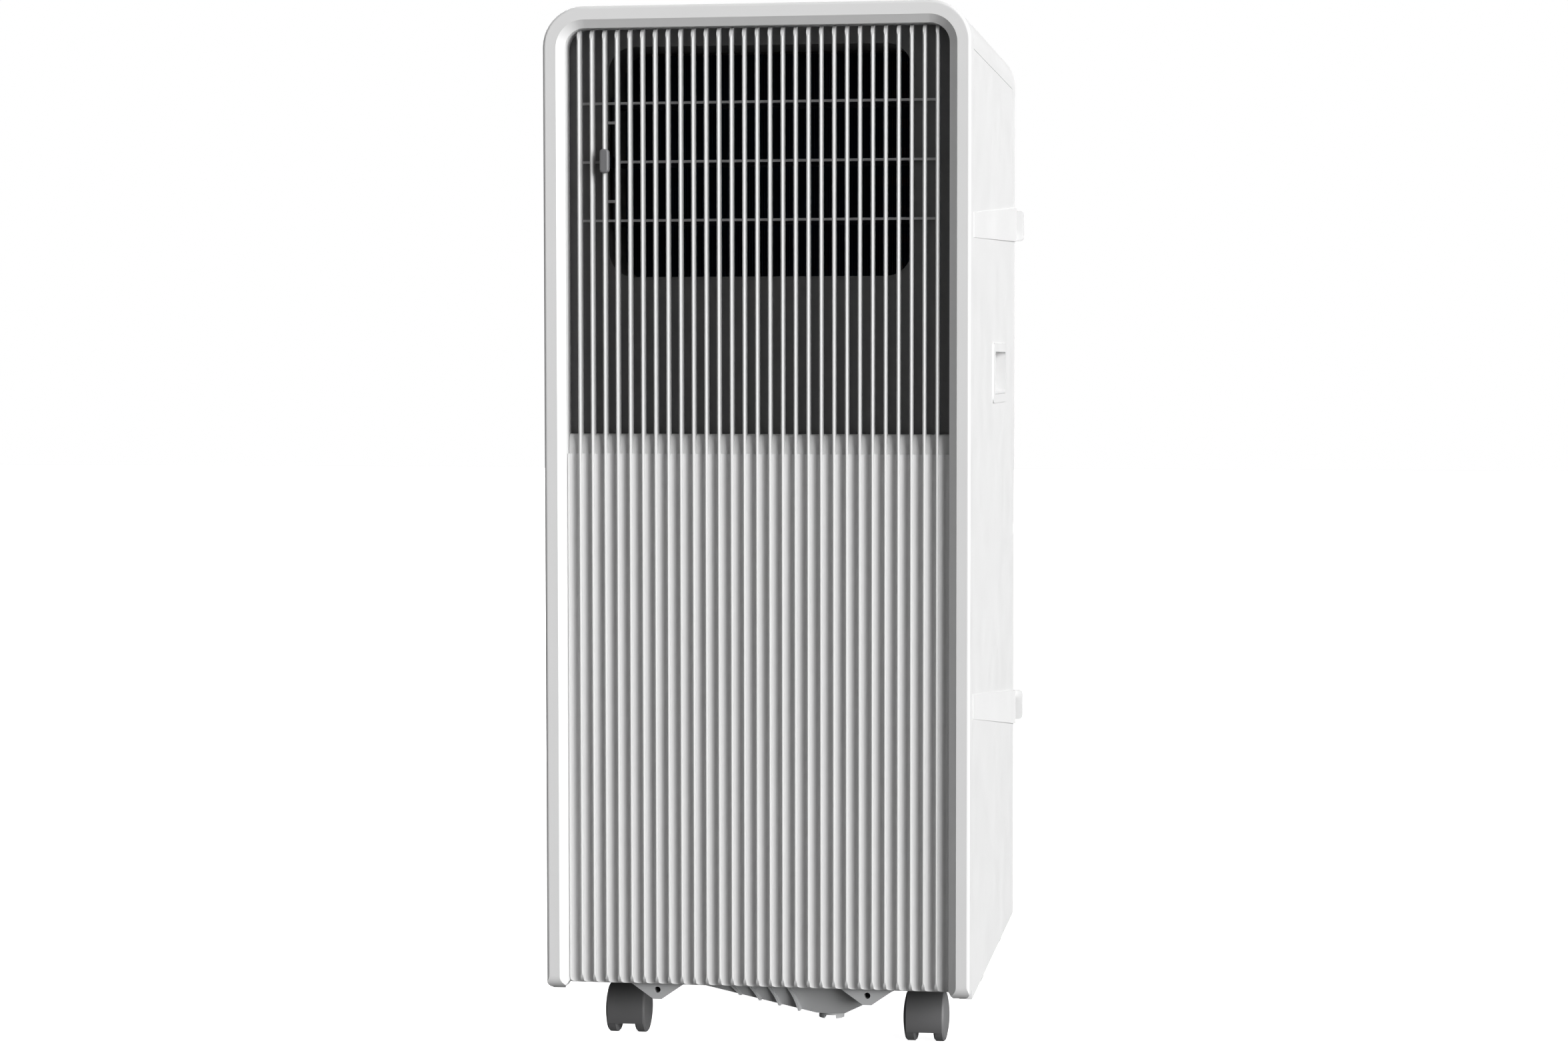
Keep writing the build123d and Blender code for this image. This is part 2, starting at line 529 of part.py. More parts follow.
with BuildPart() as rear_cover:
    with BuildSketch(upright(REAR_COVER_FRONT)):
        with Locations((0, rear_mid)):
            slab = Rectangle(WIDTH, rear_height)
        fillet(slab.vertices().group_by(Axis.Y)[-1], radius=CORNER)
    extrude(amount=-REAR_COVER_DEPTH)
    rear_face = rear_cover.faces().sort_by(Axis.Y)[-1]
    fillet(rear_face.edges(), radius=3)
    with BuildSketch(upright(REAR_COVER_FRONT)):
        with Locations((0, rear_mid)):
            slab = Rectangle(WIDTH - 2 * WALL, rear_height - 2 * WALL)
        fillet(slab.vertices().group_by(Axis.Y)[-1], radius=CORNER - WALL)
    extrude(amount=-(REAR_COVER_DEPTH - WALL), mode=Mode.SUBTRACT)
    # filter rails: two ledges above and two below each filter
    for low, high in (UPPER_INTAKE, LOWER_INTAKE):
        bottom, top = filter_band(low, high)
        for rail_z in (bottom - RAIL_WALL / 2 - 0.3, top + RAIL_WALL / 2 + 0.3):
            rail_front = FILTER_Y - FILTER_THICKNESS / 2 - RAIL_WALL - 0.3
            rail_depth = REAR - WALL - rail_front
            with Locations((0, rail_front + rail_depth / 2, rail_z)):
                Box(WIDTH - 2 * WALL, rail_depth, RAIL_WALL)
    # slatted intakes
    for low, high in (UPPER_INTAKE, LOWER_INTAKE):
        count = int((high - low) / SLAT_PITCH)
        gap_height = SLAT_PITCH - SLAT_HEIGHT
        with BuildSketch(upright(REAR + 1)):
            with Locations((-INTAKE_WIDTH / 4 - 1.5, (low + high) / 2)):
                with GridLocations(0, SLAT_PITCH, 1, count):
                    SlotOverall(INTAKE_WIDTH / 2 - 3, gap_height)
            with Locations((INTAKE_WIDTH / 4 + 1.5, (low + high) / 2)):
                with GridLocations(0, SLAT_PITCH, 1, count):
                    SlotOverall(INTAKE_WIDTH / 2 - 3, gap_height)
        extrude(amount=WALL + 2, mode=Mode.SUBTRACT)
    # the filters leave through the left wall
    for low, high in (UPPER_INTAKE, LOWER_INTAKE):
        bottom, top = filter_band(low, high)
        with Locations((-SIDE, FILTER_Y, (bottom + top) / 2)):
            Box(4 * WALL, FILTER_THICKNESS + 0.6, top - bottom + 0.6, mode=Mode.SUBTRACT)
    # exhaust hole, gland hole, drain spigots and screw holes
    with BuildSketch(upright(REAR + 1)):
        with Locations((0, EXHAUST_Z)):
            Circle(EXHAUST_RADIUS - COLLAR_WALL)
        with Locations((GLAND_X, GLAND_Z)):
            Circle(GLAND_HOLE_RADIUS)
        with Locations(*rear_screw_places):
            Circle(SCREW_RADIUS + 0.05)
    extrude(amount=WALL + 2, mode=Mode.SUBTRACT)
    for z in SPIGOT_ZS:
        with BuildSketch(upright(REAR - WALL)):
            with Locations((SPIGOT_X, z)):
                Circle(PLUG_RADIUS + SPIGOT_WALL)
        extrude(amount=-(WALL + SPIGOT_LENGTH))
        with BuildSketch(upright(REAR - WALL - SPIGOT_LENGTH)):
            with Locations((SPIGOT_X, z)):
                Circle(PLUG_RADIUS)
        extrude(amount=-HIDDEN, mode=Mode.SUBTRACT)
    # finger notch on the right edge
    with Locations((SIDE, REAR - 1, NOTCH_Z)):
        Cylinder(8, 4, rotation=(0, 90, 0), mode=Mode.SUBTRACT)
save(rear_cover.part, "rear_cover")

# ---- filters: frame with a pull lip, and the mesh inside it --------------------------------
FRAME_BAR = 6
MESH_THICKNESS = 0.8
FILTER_RIGHT = 112
FILTER_LEFT = -SIDE - 1.2  # the pull lip ends just proud of the left wall
MESH_LEFT = -112
HOLLOW_RADIUS, HOLLOW_LENGTH = 1, 40

for name, (low, high) in (("upper", UPPER_INTAKE), ("lower", LOWER_INTAKE)):
    bottom, top = filter_band(low, high)
    mid = (bottom + top) / 2
    cell = (top - bottom - 3 * FRAME_BAR) / 2
    cell_width = (FILTER_RIGHT - MESH_LEFT - 3 * FRAME_BAR) / 2
    filter_front = FILTER_Y - FILTER_THICKNESS / 2
    with BuildPart() as filter_frame:
        with BuildSketch(upright(filter_front)):
            with Locations(((FILTER_LEFT + FILTER_RIGHT) / 2, mid)):
                Rectangle(FILTER_RIGHT - FILTER_LEFT, top - bottom)
            with Locations(((FILTER_RIGHT + MESH_LEFT) / 2, mid)):
                with GridLocations(cell_width + FRAME_BAR, cell + FRAME_BAR, 2, 2):
                    Rectangle(cell_width, cell, mode=Mode.SUBTRACT)
        extrude(amount=-FILTER_THICKNESS)
        # finger hollow in the pull lip
        with Locations((FILTER_LEFT, FILTER_Y, mid)):
            Cylinder(HOLLOW_RADIUS, HOLLOW_LENGTH, mode=Mode.SUBTRACT)
        # groove that holds the mesh
        with BuildSketch(upright(FILTER_Y - MESH_THICKNESS / 2)):
            with Locations(((FILTER_RIGHT + MESH_LEFT) / 2, mid)):
                Rectangle(FILTER_RIGHT - MESH_LEFT - FRAME_BAR, top - bottom - FRAME_BAR)
        extrude(amount=-MESH_THICKNESS, mode=Mode.SUBTRACT)
    save(filter_frame.part, f"{name}_filter_frame")
    with BuildPart() as filter_mesh:
        with BuildSketch(upright(FILTER_Y - MESH_THICKNESS / 2)):
            with Locations(((FILTER_RIGHT + MESH_LEFT) / 2, mid)):
                Rectangle(FILTER_RIGHT - MESH_LEFT - FRAME_BAR, top - bottom - FRAME_BAR)
        extrude(amount=-MESH_THICKNESS)
    save(filter_mesh.part, f"{name}_filter_mesh")

# ---- exhaust collar for the hose adapter ---------------------------------------------------
COLLAR_LENGTH = 24
COLLAR_FLANGE = 70

with BuildPart() as exhaust_collar:
    with BuildSketch(upright(REAR)):
        with Locations((0, EXHAUST_Z)):
            Circle(COLLAR_FLANGE)
            Circle(EXHAUST_RADIUS - COLLAR_WALL, mode=Mode.SUBTRACT)
    extrude(amount=-2)
    with BuildSketch(upright(REAR)):
        with Locations((0, EXHAUST_Z)):
            Circle(EXHAUST_RADIUS)
            Circle(EXHAUST_RADIUS - COLLAR_WALL, mode=Mode.SUBTRACT)
    extrude(amount=-COLLAR_LENGTH)
save(exhaust_collar.part, "exhaust_collar")

# ---- cord hooks at the right rear edge: root, arm and turned lip ---------------------------
HOOK_HALF = 12  # half the height of the lip
HOOK_REACH = 20
HOOK_LIP = 3.5
HOOK_LEFT = SIDE - 16
HOOK_RIGHT = SIDE + 5.5
HOOK_ARM = 5
HOOK_ROOT = 2
STRAP_FRONT = SHELL_FRONT + 2
STRAP_HALF = 8.6  # half the height of the strap's front end
STRAP_BACK_HALF = 13.4
STRAP_THIN = 0.4
STRAP_THICK = 1.3


def build_hook(middle, turn, strap_start):
    """One hook; turn is 1 where the lip points up and -1 where it points down."""
    arm_z = middle - turn * (HOOK_HALF - HOOK_ARM / 2)
    root_back = REAR + HOOK_ROOT
    with BuildPart() as hook:
        # the root lies on the rear face and turns into a flared strap along the side
        with Locations(((HOOK_LEFT + SIDE) / 2, REAR + HOOK_ROOT / 2, middle)):
            Box(SIDE - HOOK_LEFT, HOOK_ROOT, 2 * HOOK_HALF)
        with BuildSketch(upright(STRAP_FRONT)):
            with Locations((SIDE + STRAP_THIN / 2, strap_start)):
                Rectangle(STRAP_THIN, 2 * STRAP_HALF)
        with BuildSketch(upright(root_back)):
            with Locations((SIDE + STRAP_THICK / 2, middle)):
                Rectangle(STRAP_THICK, 2 * STRAP_BACK_HALF)
        loft()
        with Locations(((HOOK_LEFT + SIDE) / 2, REAR + HOOK_REACH / 2, arm_z)):
            Box(SIDE - HOOK_LEFT, HOOK_REACH, HOOK_ARM)
        with Locations(((HOOK_LEFT + HOOK_RIGHT) / 2, REAR + HOOK_REACH + HOOK_LIP / 2, middle)):
            Box(HOOK_RIGHT - HOOK_LEFT, HOOK_LIP, 2 * HOOK_HALF)
        lip_corners = hook.edges().filter_by(Axis.Y).group_by(Axis.Y)[-1]
        fillet(lip_corners.filter_by(lambda e: e.length < HOOK_LIP + 0.1), radius=3)
    return hook.part


hook_places = {"upper": (600, 1, 585), "lower": (211, -1, 249.8)}
for name, (middle, turn, strap_start) in hook_places.items():
    save(build_hook(middle, turn, strap_start), f"cord_hook_{name}")

# ---- cord gland: ring in the rear cover, empty ---------------------------------------------
GLAND_RADIUS = 10
GLAND_LENGTH = 12
GLAND_BORE = 3.6

with BuildPart() as cord_gland:
    with Locations(upright(REAR)):
        with Locations((GLAND_X, GLAND_Z)):
            Cylinder(GLAND_RADIUS, 2.5, align=(Align.CENTER, Align.CENTER, Align.MAX))
            Cylinder(GLAND_HOLE_RADIUS - 0.2, GLAND_LENGTH)
            Cylinder(GLAND_BORE, 2 * GLAND_LENGTH, mode=Mode.SUBTRACT)
save(cord_gland.part, "cord_gland")

# ---- drain plugs ---------------------------------------------------------------------------
PLUG_HEAD = 9
PLUG_HEAD_LENGTH = 4
PLUG_FLOOR = 4  # the stem starts this far inside the rear face
plug_back = REAR + SPIGOT_LENGTH + 0.1

for name, z in zip(("lower", "upper"), SPIGOT_ZS):
    with BuildPart() as drain_plug:
        with BuildSketch(upright(REAR - PLUG_FLOOR)):
            with Locations((SPIGOT_X, z)):
                Circle(PLUG_RADIUS - 0.08)
        extrude(amount=-(plug_back - REAR + PLUG_FLOOR))
        with BuildSketch(upright(plug_back)):
            with Locations((SPIGOT_X, z)):
                Circle(PLUG_HEAD)
        extrude(amount=-PLUG_HEAD_LENGTH)
        fillet(drain_plug.faces().sort_by(Axis.Y)[-1].edges(), radius=1.2)
        # finger bar across the head
        with Locations((SPIGOT_X, plug_back + PLUG_HEAD_LENGTH + 2, z)):
            Box(3, 5, 11)
    save(drain_plug.part, f"drain_plug_{name}")

# ---- base pan: tray with caster sockets, a sump keel and two V tabs at the front -----------
PAN_HALF = SIDE - WALL - 0.8
PAN_FRONT = BEZEL_BACK + 3.2
PAN_BACK = SHELL_BACK - WALL - GAP
PAN_WALL = 3
PAN_HEIGHT = 34
CASTER_X = 109.6
CASTER_FRONT_Y = FRONT + 102
CASTER_REAR_Y = REAR - 62
BASE_SHIFT = 1.4  # X of the middle between the casters
STEM_RADIUS = 5
SOCKET_RADIUS = 11
SOCKET_HEIGHT = 20
TAB_HALF = 19.5
TAB_DROP = 11.5
TAB_HOLE_RADIUS = 2.25
TAB_HOLE_Z = BODY_BOTTOM - 4.8
TAB_XS = (-73.5, 76.5)
TAB_BOSS_RADIUS = 4.6
TAB_BOSS_LENGTH = 12
TAB_TIP = 3  # half the width of the tabs' lower ends
KEEL_TOP = (-53, 100)  # X of the keel's upper edges
KEEL_FOOT = (38, 58)  # X of its lower edges
KEEL_Z = 28.4
KEEL_FRONT = PAN_FRONT + 4
KEEL_LENGTH = 108
KEEL_FOOT_FRONT = PAN_FRONT + 12
KEEL_FOOT_LENGTH = 42
DRAIN_BOSS_RADIUS = 9
DRAIN_BOSS_X = 47.5
DRAIN_BOSS_DROP = 4.2  # how far the boss stands below the keel
DRAIN_SLOT = (8, 2.4)  # width and depth of the slot across the boss
KEEL_RIB_XS = (-26, -12, 2, 16)
KEEL_RIB_WIDTH = 1.6
KEEL_RIB_LEAN = 10
CLIPS = {-65: 20, 92.5: 15}  # Y and length of the clips below the side panels' lower edges
CLIP_BOTTOM = 36
caster_places = {
    "front_left": (BASE_SHIFT - CASTER_X, CASTER_FRONT_Y, 180.8),
    "front_right": (BASE_SHIFT + CASTER_X, CASTER_FRONT_Y, 179.6),
    "rear_left": (BASE_SHIFT - CASTER_X, CASTER_REAR_Y, -6),
    "rear_right": (BASE_SHIFT + CASTER_X, CASTER_REAR_Y, 12),
}
pan_depth = PAN_BACK - PAN_FRONT
pan_mid = (PAN_FRONT + PAN_BACK) / 2

with BuildPart() as base_pan:
    with Locations((0, pan_mid, BODY_BOTTOM)):
        Box(2 * PAN_HALF, pan_depth, PAN_HEIGHT, align=(Align.CENTER, Align.CENTER, Align.MIN))
    with Locations((0, pan_mid, BODY_BOTTOM + PAN_WALL)):
        Box(
            2 * (PAN_HALF - PAN_WALL),
            pan_depth - 2 * PAN_WALL,
            PAN_HEIGHT,
            align=(Align.CENTER, Align.CENTER, Align.MIN),
            mode=Mode.SUBTRACT,
        )
    # keel: the sump's faceted underside, deepest at the drain boss
    with BuildSketch(level(BODY_BOTTOM)):
        with Locations((sum(KEEL_TOP) / 2, KEEL_FRONT + KEEL_LENGTH / 2)):
            Rectangle(KEEL_TOP[1] - KEEL_TOP[0], KEEL_LENGTH)
    with BuildSketch(level(KEEL_Z)):
        with Locations((sum(KEEL_FOOT) / 2, KEEL_FOOT_FRONT + KEEL_FOOT_LENGTH / 2)):
            Rectangle(KEEL_FOOT[1] - KEEL_FOOT[0], KEEL_FOOT_LENGTH)
    loft()
    boss_y = KEEL_FOOT_FRONT + DRAIN_BOSS_RADIUS + 1
    with Locations((DRAIN_BOSS_X, boss_y, KEEL_Z - DRAIN_BOSS_DROP)):
        Cylinder(
            DRAIN_BOSS_RADIUS,
            DRAIN_BOSS_DROP + 4,
            align=(Align.CENTER, Align.CENTER, Align.MIN),
        )
        Box(
            DRAIN_SLOT[0],
            4 * DRAIN_BOSS_RADIUS,
            DRAIN_SLOT[1],
            align=(Align.CENTER, Align.CENTER, Align.MIN),
            mode=Mode.SUBTRACT,
        )
    # stiffening ribs that lean across the keel's front
    keel_slope = (BODY_BOTTOM - KEEL_Z) / (KEEL_FOOT[0] - KEEL_TOP[0])
    for rib_x in KEEL_RIB_XS:
        foot_x = rib_x + KEEL_RIB_LEAN
        foot_z = BODY_BOTTOM - (foot_x - KEEL_TOP[0]) * keel_slope
        with BuildSketch(upright(KEEL_FRONT - 1.4)):
            with BuildLine():
                RadiusArc((rib_x, BODY_BOTTOM), (foot_x, foot_z), 45)
                Line((foot_x, foot_z), (foot_x + KEEL_RIB_WIDTH, foot_z))
                RadiusArc(
                    (foot_x + KEEL_RIB_WIDTH, foot_z),
                    (rib_x + KEEL_RIB_WIDTH, BODY_BOTTOM),
                    -45,
                )
                Line((rib_x + KEEL_RIB_WIDTH, BODY_BOTTOM), (rib_x, BODY_BOTTOM))
            make_face()
        extrude(amount=-10)
    # clips that hang below the side panels' lower edges
    for side in (-1, 1):
        for clip_y, clip_length in CLIPS.items():
            with Locations((side * (PAN_HALF - PAN_WALL), clip_y, CLIP_BOTTOM)):
                Box(
                    2 * PAN_WALL,
                    clip_length,
                    BODY_BOTTOM + PAN_WALL - CLIP_BOTTOM,
                    align=(Align.CENTER, Align.CENTER, Align.MIN),
                )
    # V tabs that hang in front of the pan
    for tab_x in TAB_XS:
        with BuildSketch(upright(RIB_BACK + 0.4)):
            with BuildLine():
                Polyline(
                    (tab_x - TAB_HALF, BODY_BOTTOM + 12),
                    (tab_x + TAB_HALF, BODY_BOTTOM + 12),
                    (tab_x + TAB_HALF, BODY_BOTTOM),
                    (tab_x + TAB_TIP, BODY_BOTTOM - TAB_DROP),
                    (tab_x - TAB_TIP, BODY_BOTTOM - TAB_DROP),
                    (tab_x - TAB_HALF, BODY_BOTTOM),
                    close=True,
                )
            make_face()
        extrude(amount=-(PAN_FRONT + 1 - RIB_BACK - 0.4))
        # blind screw boss behind the tab
        with BuildSketch(upright(PAN_FRONT)):
            with Locations((tab_x, TAB_HOLE_Z)):
                Circle(TAB_BOSS_RADIUS)
        extrude(amount=-TAB_BOSS_LENGTH)
        with BuildSketch(upright(RIB_BACK)):
            with Locations((tab_x, TAB_HOLE_Z)):
                Circle(TAB_HOLE_RADIUS)
        extrude(amount=-(PAN_FRONT + TAB_BOSS_LENGTH - 2 - RIB_BACK), mode=Mode.SUBTRACT)
    # caster sockets
    for x, y, _ in caster_places.values():
        with Locations((x, y, BODY_BOTTOM)):
            Cylinder(
                SOCKET_RADIUS, SOCKET_HEIGHT, align=(Align.CENTER, Align.CENTER, Align.MIN)
            )
    for x, y, _ in caster_places.values():
        with Locations((x, y, BODY_BOTTOM)):
            Cylinder(
                STEM_RADIUS + 0.06,
                SOCKET_HEIGHT - 3,
                align=(Align.CENTER, Align.CENTER, Align.MIN),
                mode=Mode.SUBTRACT,
            )
save(base_pan.part, "base_pan")

# ---- casters: swivel housing with its stem and axle, and two wheels ------------------------
TRAIL = 15  # from the stem to the axle
AXLE_RADIUS = 3
WEB_HALF = 6
HOOD_HALF = 12.8
HOOD_OUTER = WHEEL_RADIUS + 1.3
HOOD_INNER = WHEEL_RADIUS + 0.4
HOOD_EDGE = 8.8  # height of the hood's lower edge
HEAD_RADIUS = 8.5
HEAD_LENGTH = 21
STEM_LENGTH = 15
WHEEL_INNER = 6.5
WHEEL_OUTER = 14.2
DOME = 2.2
HUB_DEPTH = 7.2
TREAD_BEVEL = 1.2
axle_half = WHEEL_INNER + HUB_DEPTH - 0.4

with BuildPart() as housing:
    with BuildSketch(sideways(-HOOD_HALF)):
        with Locations((TRAIL, WHEEL_RADIUS)):
            Circle(HOOD_OUTER)
        with Locations((TRAIL, HOOD_EDGE - HOOD_OUTER)):
            Rectangle(4 * HOOD_OUTER, 2 * HOOD_OUTER, mode=Mode.SUBTRACT)
    extrude(amount=2 * HOOD_HALF)
    head_top = BODY_BOTTOM - 0.4
    with Locations((0, 0, head_top)):
        Cylinder(HEAD_RADIUS, HEAD_LENGTH, align=(Align.CENTER, Align.CENTER, Align.MAX))
        Cylinder(STEM_RADIUS, STEM_LENGTH, align=(Align.CENTER, Align.CENTER, Align.MIN))
    # a chamber for each wheel, and the axle across both
    for end in (-1, 1):
        with BuildSketch(sideways(end * (HOOD_HALF + 1))):
            with Locations((TRAIL, WHEEL_RADIUS)):
                Circle(HOOD_INNER)
        extrude(amount=-end * (HOOD_HALF + 1 - WEB_HALF), mode=Mode.SUBTRACT)
    with BuildSketch(sideways(-axle_half)):
        with Locations((TRAIL, WHEEL_RADIUS)):
            Circle(AXLE_RADIUS)
    extrude(amount=2 * axle_half)

tread_top = TRAIL + WHEEL_RADIUS
dome_rim = WHEEL_RADIUS - TREAD_BEVEL
dome_radius = (dome_rim**2 + DOME**2) / (2 * DOME)

with BuildPart() as wheel:
    # half section of the right-hand wheel, in the plane of its axle
    with BuildSketch(level(WHEEL_RADIUS)):
        with BuildLine():
            Polyline(
                (WHEEL_OUTER + DOME, TRAIL),
                (WHEEL_INNER, TRAIL),
                (WHEEL_INNER, tread_top - TREAD_BEVEL),
                (WHEEL_INNER + TREAD_BEVEL, tread_top),
                (WHEEL_OUTER - TREAD_BEVEL, tread_top),
                (WHEEL_OUTER, tread_top - TREAD_BEVEL),
            )
            RadiusArc((WHEEL_OUTER, TRAIL + dome_rim), (WHEEL_OUTER + DOME, TRAIL), dome_radius)
        make_face()
    revolve(axis=Axis((0, TRAIL, WHEEL_RADIUS), (1, 0, 0)))
    with BuildSketch(sideways(WHEEL_INNER)):
        with Locations((TRAIL, WHEEL_RADIUS)):
            Circle(AXLE_RADIUS + 0.06)
    extrude(amount=HUB_DEPTH, mode=Mode.SUBTRACT)

mirrored_wheel = wheel.part.mirror(Plane.YZ)
for name, (x, y, swivel) in caster_places.items():
    place = Location((x, y, 0), (0, 0, swivel))
    save(housing.part.moved(place), f"caster_{name}_housing")
    save(wheel.part.moved(place), f"caster_{name}_wheel_right")
    save(mirrored_wheel.moved(place), f"caster_{name}_wheel_left")

# ---- evaporator behind the outlet, and the drain tray under it -----------------------------
COIL_GAP = 2
COIL_DEPTH = 34
FIN_PITCH = 3.6
FIN_THICKNESS = 1.2
FIN_HEIGHT = 9
UBEND_RADIUS = 3.5


def build_coil(front, width, low, high):
    """A finned block from front to front + COIL_DEPTH, with return bends on both ends."""
    height = high - low
    fins = int((width - FIN_THICKNESS) / FIN_PITCH)
    with BuildPart() as coil:
        with BuildSketch(level(low)):
            with Locations((0, front + COIL_DEPTH / 2)):
                Rectangle(width, COIL_DEPTH - 2 * FIN_HEIGHT)
                with GridLocations(FIN_PITCH, 0, fins, 1):
                    Rectangle(FIN_THICKNESS, COIL_DEPTH)
        extrude(amount=height)
        bends = int(height / 28)
        for end in (-1, 1):
            for n in range(bends):
                bend_z = low + (n + 0.5) * height / bends
                with Locations((end * width / 2, front + COIL_DEPTH / 2, bend_z)):
                    Torus(8, UBEND_RADIUS, rotation=(90, 0, 0))
    return coil.part


EVAPORATOR_FRONT = DUCT_BACK + COIL_GAP
EVAPORATOR_LOW, EVAPORATOR_HIGH = 548, 712
EVAPORATOR_WIDTH = 222
save(build_coil(EVAPORATOR_FRONT, EVAPORATOR_WIDTH, EVAPORATOR_LOW, EVAPORATOR_HIGH), "evaporator_coil")

TRAY_Z = 510
TRAY_HEIGHT = 22
with BuildPart() as drain_tray:
    tray_front = BAFFLE_BACK + 1.5
    tray_back = 52
    with Locations((0, (tray_front + tray_back) / 2, TRAY_Z + TRAY_HEIGHT / 2)):
        Box(2 * 108, tray_back - tray_front, TRAY_HEIGHT)
    with Locations((0, (tray_front + tray_back) / 2, TRAY_Z + TRAY_HEIGHT / 2 + 3)):
        Box(2 * 105, tray_back - tray_front - 6, TRAY_HEIGHT, mode=Mode.SUBTRACT)
save(drain_tray.part, "drain_tray")


# ---- blower and condenser fan: housing, wheel with curved blades, motor --------------------
def build_fan_wheel(front, back, middle_z, radius, blades):
    """Centrifugal wheel about the Y direction: back plate, hub, blades and front ring."""
    with BuildPart() as fan:
        with BuildSketch(upright(back - 3)):
            with Locations((0, middle_z)):
                Circle(radius)
        extrude(amount=-3)
        with BuildSketch(upright(front)):
            with Locations((0, middle_z)):
                Circle(radius)
                Circle(radius - 7, mode=Mode.SUBTRACT)
        extrude(amount=-3)
        with BuildSketch(upright(front)):
            with Locations((0, middle_z)):
                with PolarLocations(radius - 8, blades):
                    Rectangle(14, 1.6, rotation=32)
        extrude(amount=-(back - front))
        with BuildSketch(upright(front + 14)):
            with Locations((0, middle_z)):
                Circle(18)
        extrude(amount=-(back - front - 14))
        with BuildSketch(upright(front)):
            with Locations((0, middle_z)):
                Circle(radius + 1)
                Circle(radius, mode=Mode.SUBTRACT)
        extrude(amount=-(back - front), mode=Mode.SUBTRACT)
        with BuildSketch(upright(front + 10)):
            with Locations((0, middle_z)):
                Circle(MOTOR_SHAFT + 0.06)
        extrude(amount=-HIDDEN, mode=Mode.SUBTRACT)
    return fan.part


def build_motor(front, middle_z, radius, length, shaft_front):
    """Round motor whose shaft reaches forward into the fan wheel."""
    with BuildPart() as motor:
        with BuildSketch(upright(front)):
            with Locations((0, middle_z)):
                Circle(radius)
        extrude(amount=-length)
        fillet(motor.faces().filter_by(Axis.Y).edges(), radius=5)
        with BuildSketch(upright(shaft_front)):
            with Locations((0, middle_z)):
                Circle(MOTOR_SHAFT)
        extrude(amount=-(front + 2 - shaft_front))
    return motor.part


MOTOR_SHAFT = 4
BLOWER_Z = 630
BLOWER_RADIUS = 78
BLOWER_FRONT = EVAPORATOR_FRONT + COIL_DEPTH + 8
BLOWER_BACK = BLOWER_FRONT + 56
BLOWER_BOX = (224, 176)

with BuildPart() as blower_housing:
    housing_front = BLOWER_FRONT - 6
    housing_back = BLOWER_BACK + 6
    with Locations((0, (housing_front + housing_back) / 2, BLOWER_Z)):
        Box(BLOWER_BOX[0], housing_back - housing_front, BLOWER_BOX[1])
    with BuildSketch(upright(housing_front)):
        with Locations((0, BLOWER_Z)):
            Circle(BLOWER_RADIUS + 5)
    extrude(amount=-(housing_back - housing_front - 3), mode=Mode.SUBTRACT)
    with BuildSketch(upright(housing_back)):
        with Locations((0, BLOWER_Z)):
            Circle(MOTOR_SHAFT + 3)
            with PolarLocations(48, 8):
                Circle(14)
    extrude(amount=20, mode=Mode.SUBTRACT)
save(blower_housing.part, "blower_housing")
save(build_fan_wheel(BLOWER_FRONT, BLOWER_BACK, BLOWER_Z, BLOWER_RADIUS, 30), "blower_wheel")
save(build_motor(housing_back + 0.2, BLOWER_Z, 38, 52, BLOWER_FRONT + 12), "blower_motor")

FAN_Z = 230
FAN_RADIUS = 82
FAN_BACK = 108
FAN_FRONT = FAN_BACK - 50
FAN_BOX = 188
DUCT_HALF = 58

with BuildPart() as condenser_fan_housing:
    box_front = FAN_FRONT - 6
    box_back = FAN_BACK + 6
    box_mid = (box_front + box_back) / 2
    box_depth = box_back - box_front
    with Locations((0, box_mid, FAN_Z)):
        Box(FAN_BOX, box_depth, FAN_BOX)
    with BuildSketch(upright(box_back)):
        with Locations((0, FAN_Z)):
            Circle(FAN_RADIUS + 5)
    extrude(amount=box_depth - 3, mode=Mode.SUBTRACT)
    with BuildSketch(upright(box_front)):
        with Locations((0, FAN_Z)):
            Circle(MOTOR_SHAFT + 3)
    extrude(amount=-10, mode=Mode.SUBTRACT)
    # exhaust duct: up from the fan and back to the collar
    duct_top = EXHAUST_Z + EXHAUST_RADIUS + 2
    duct_low = FAN_Z + FAN_BOX / 2 - 4
    duct_end = REAR - WALL - 0.4
    with BuildSketch(sideways(-DUCT_HALF - 6)):
        with BuildLine():
            Polyline(
                (box_front, duct_low),
                (box_back, duct_low),
                (box_back, EXHAUST_Z - EXHAUST_RADIUS - 2),
                (duct_end, EXHAUST_Z - EXHAUST_RADIUS - 2),
                (duct_end, duct_top),
                (box_front + 30, duct_top),
                (box_front, duct_top - 30),
                close=True,
            )
        make_face()
    extrude(amount=2 * (DUCT_HALF + 6))
    with BuildSketch(sideways(-DUCT_HALF - 3)):
        with BuildLine():
            Polyline(
                (box_front + 3, FAN_Z + FAN_RADIUS - 20),
                (box_back - 3, FAN_Z + FAN_RADIUS - 20),
                (box_back - 3, EXHAUST_Z - EXHAUST_RADIUS + 1),
                (duct_end + 1, EXHAUST_Z - EXHAUST_RADIUS + 1),
                (duct_end + 1, duct_top - 3),
                (box_front + 32, duct_top - 3),
                (box_front + 3, duct_top - 32),
                close=True,
            )
        make_face()
    extrude(amount=2 * (DUCT_HALF + 3), mode=Mode.SUBTRACT)
save(condenser_fan_housing.part, "condenser_fan_housing")
save(
    build_fan_wheel(FAN_FRONT, FAN_BACK, FAN_Z, FAN_RADIUS, 30), "condenser_fan_wheel"
)
FAN_MOTOR_LENGTH = 46
save(
    build_motor(box_front - FAN_MOTOR_LENGTH - 0.2, FAN_Z, 36, FAN_MOTOR_LENGTH, box_front - 20),
    "condenser_fan_motor",
)

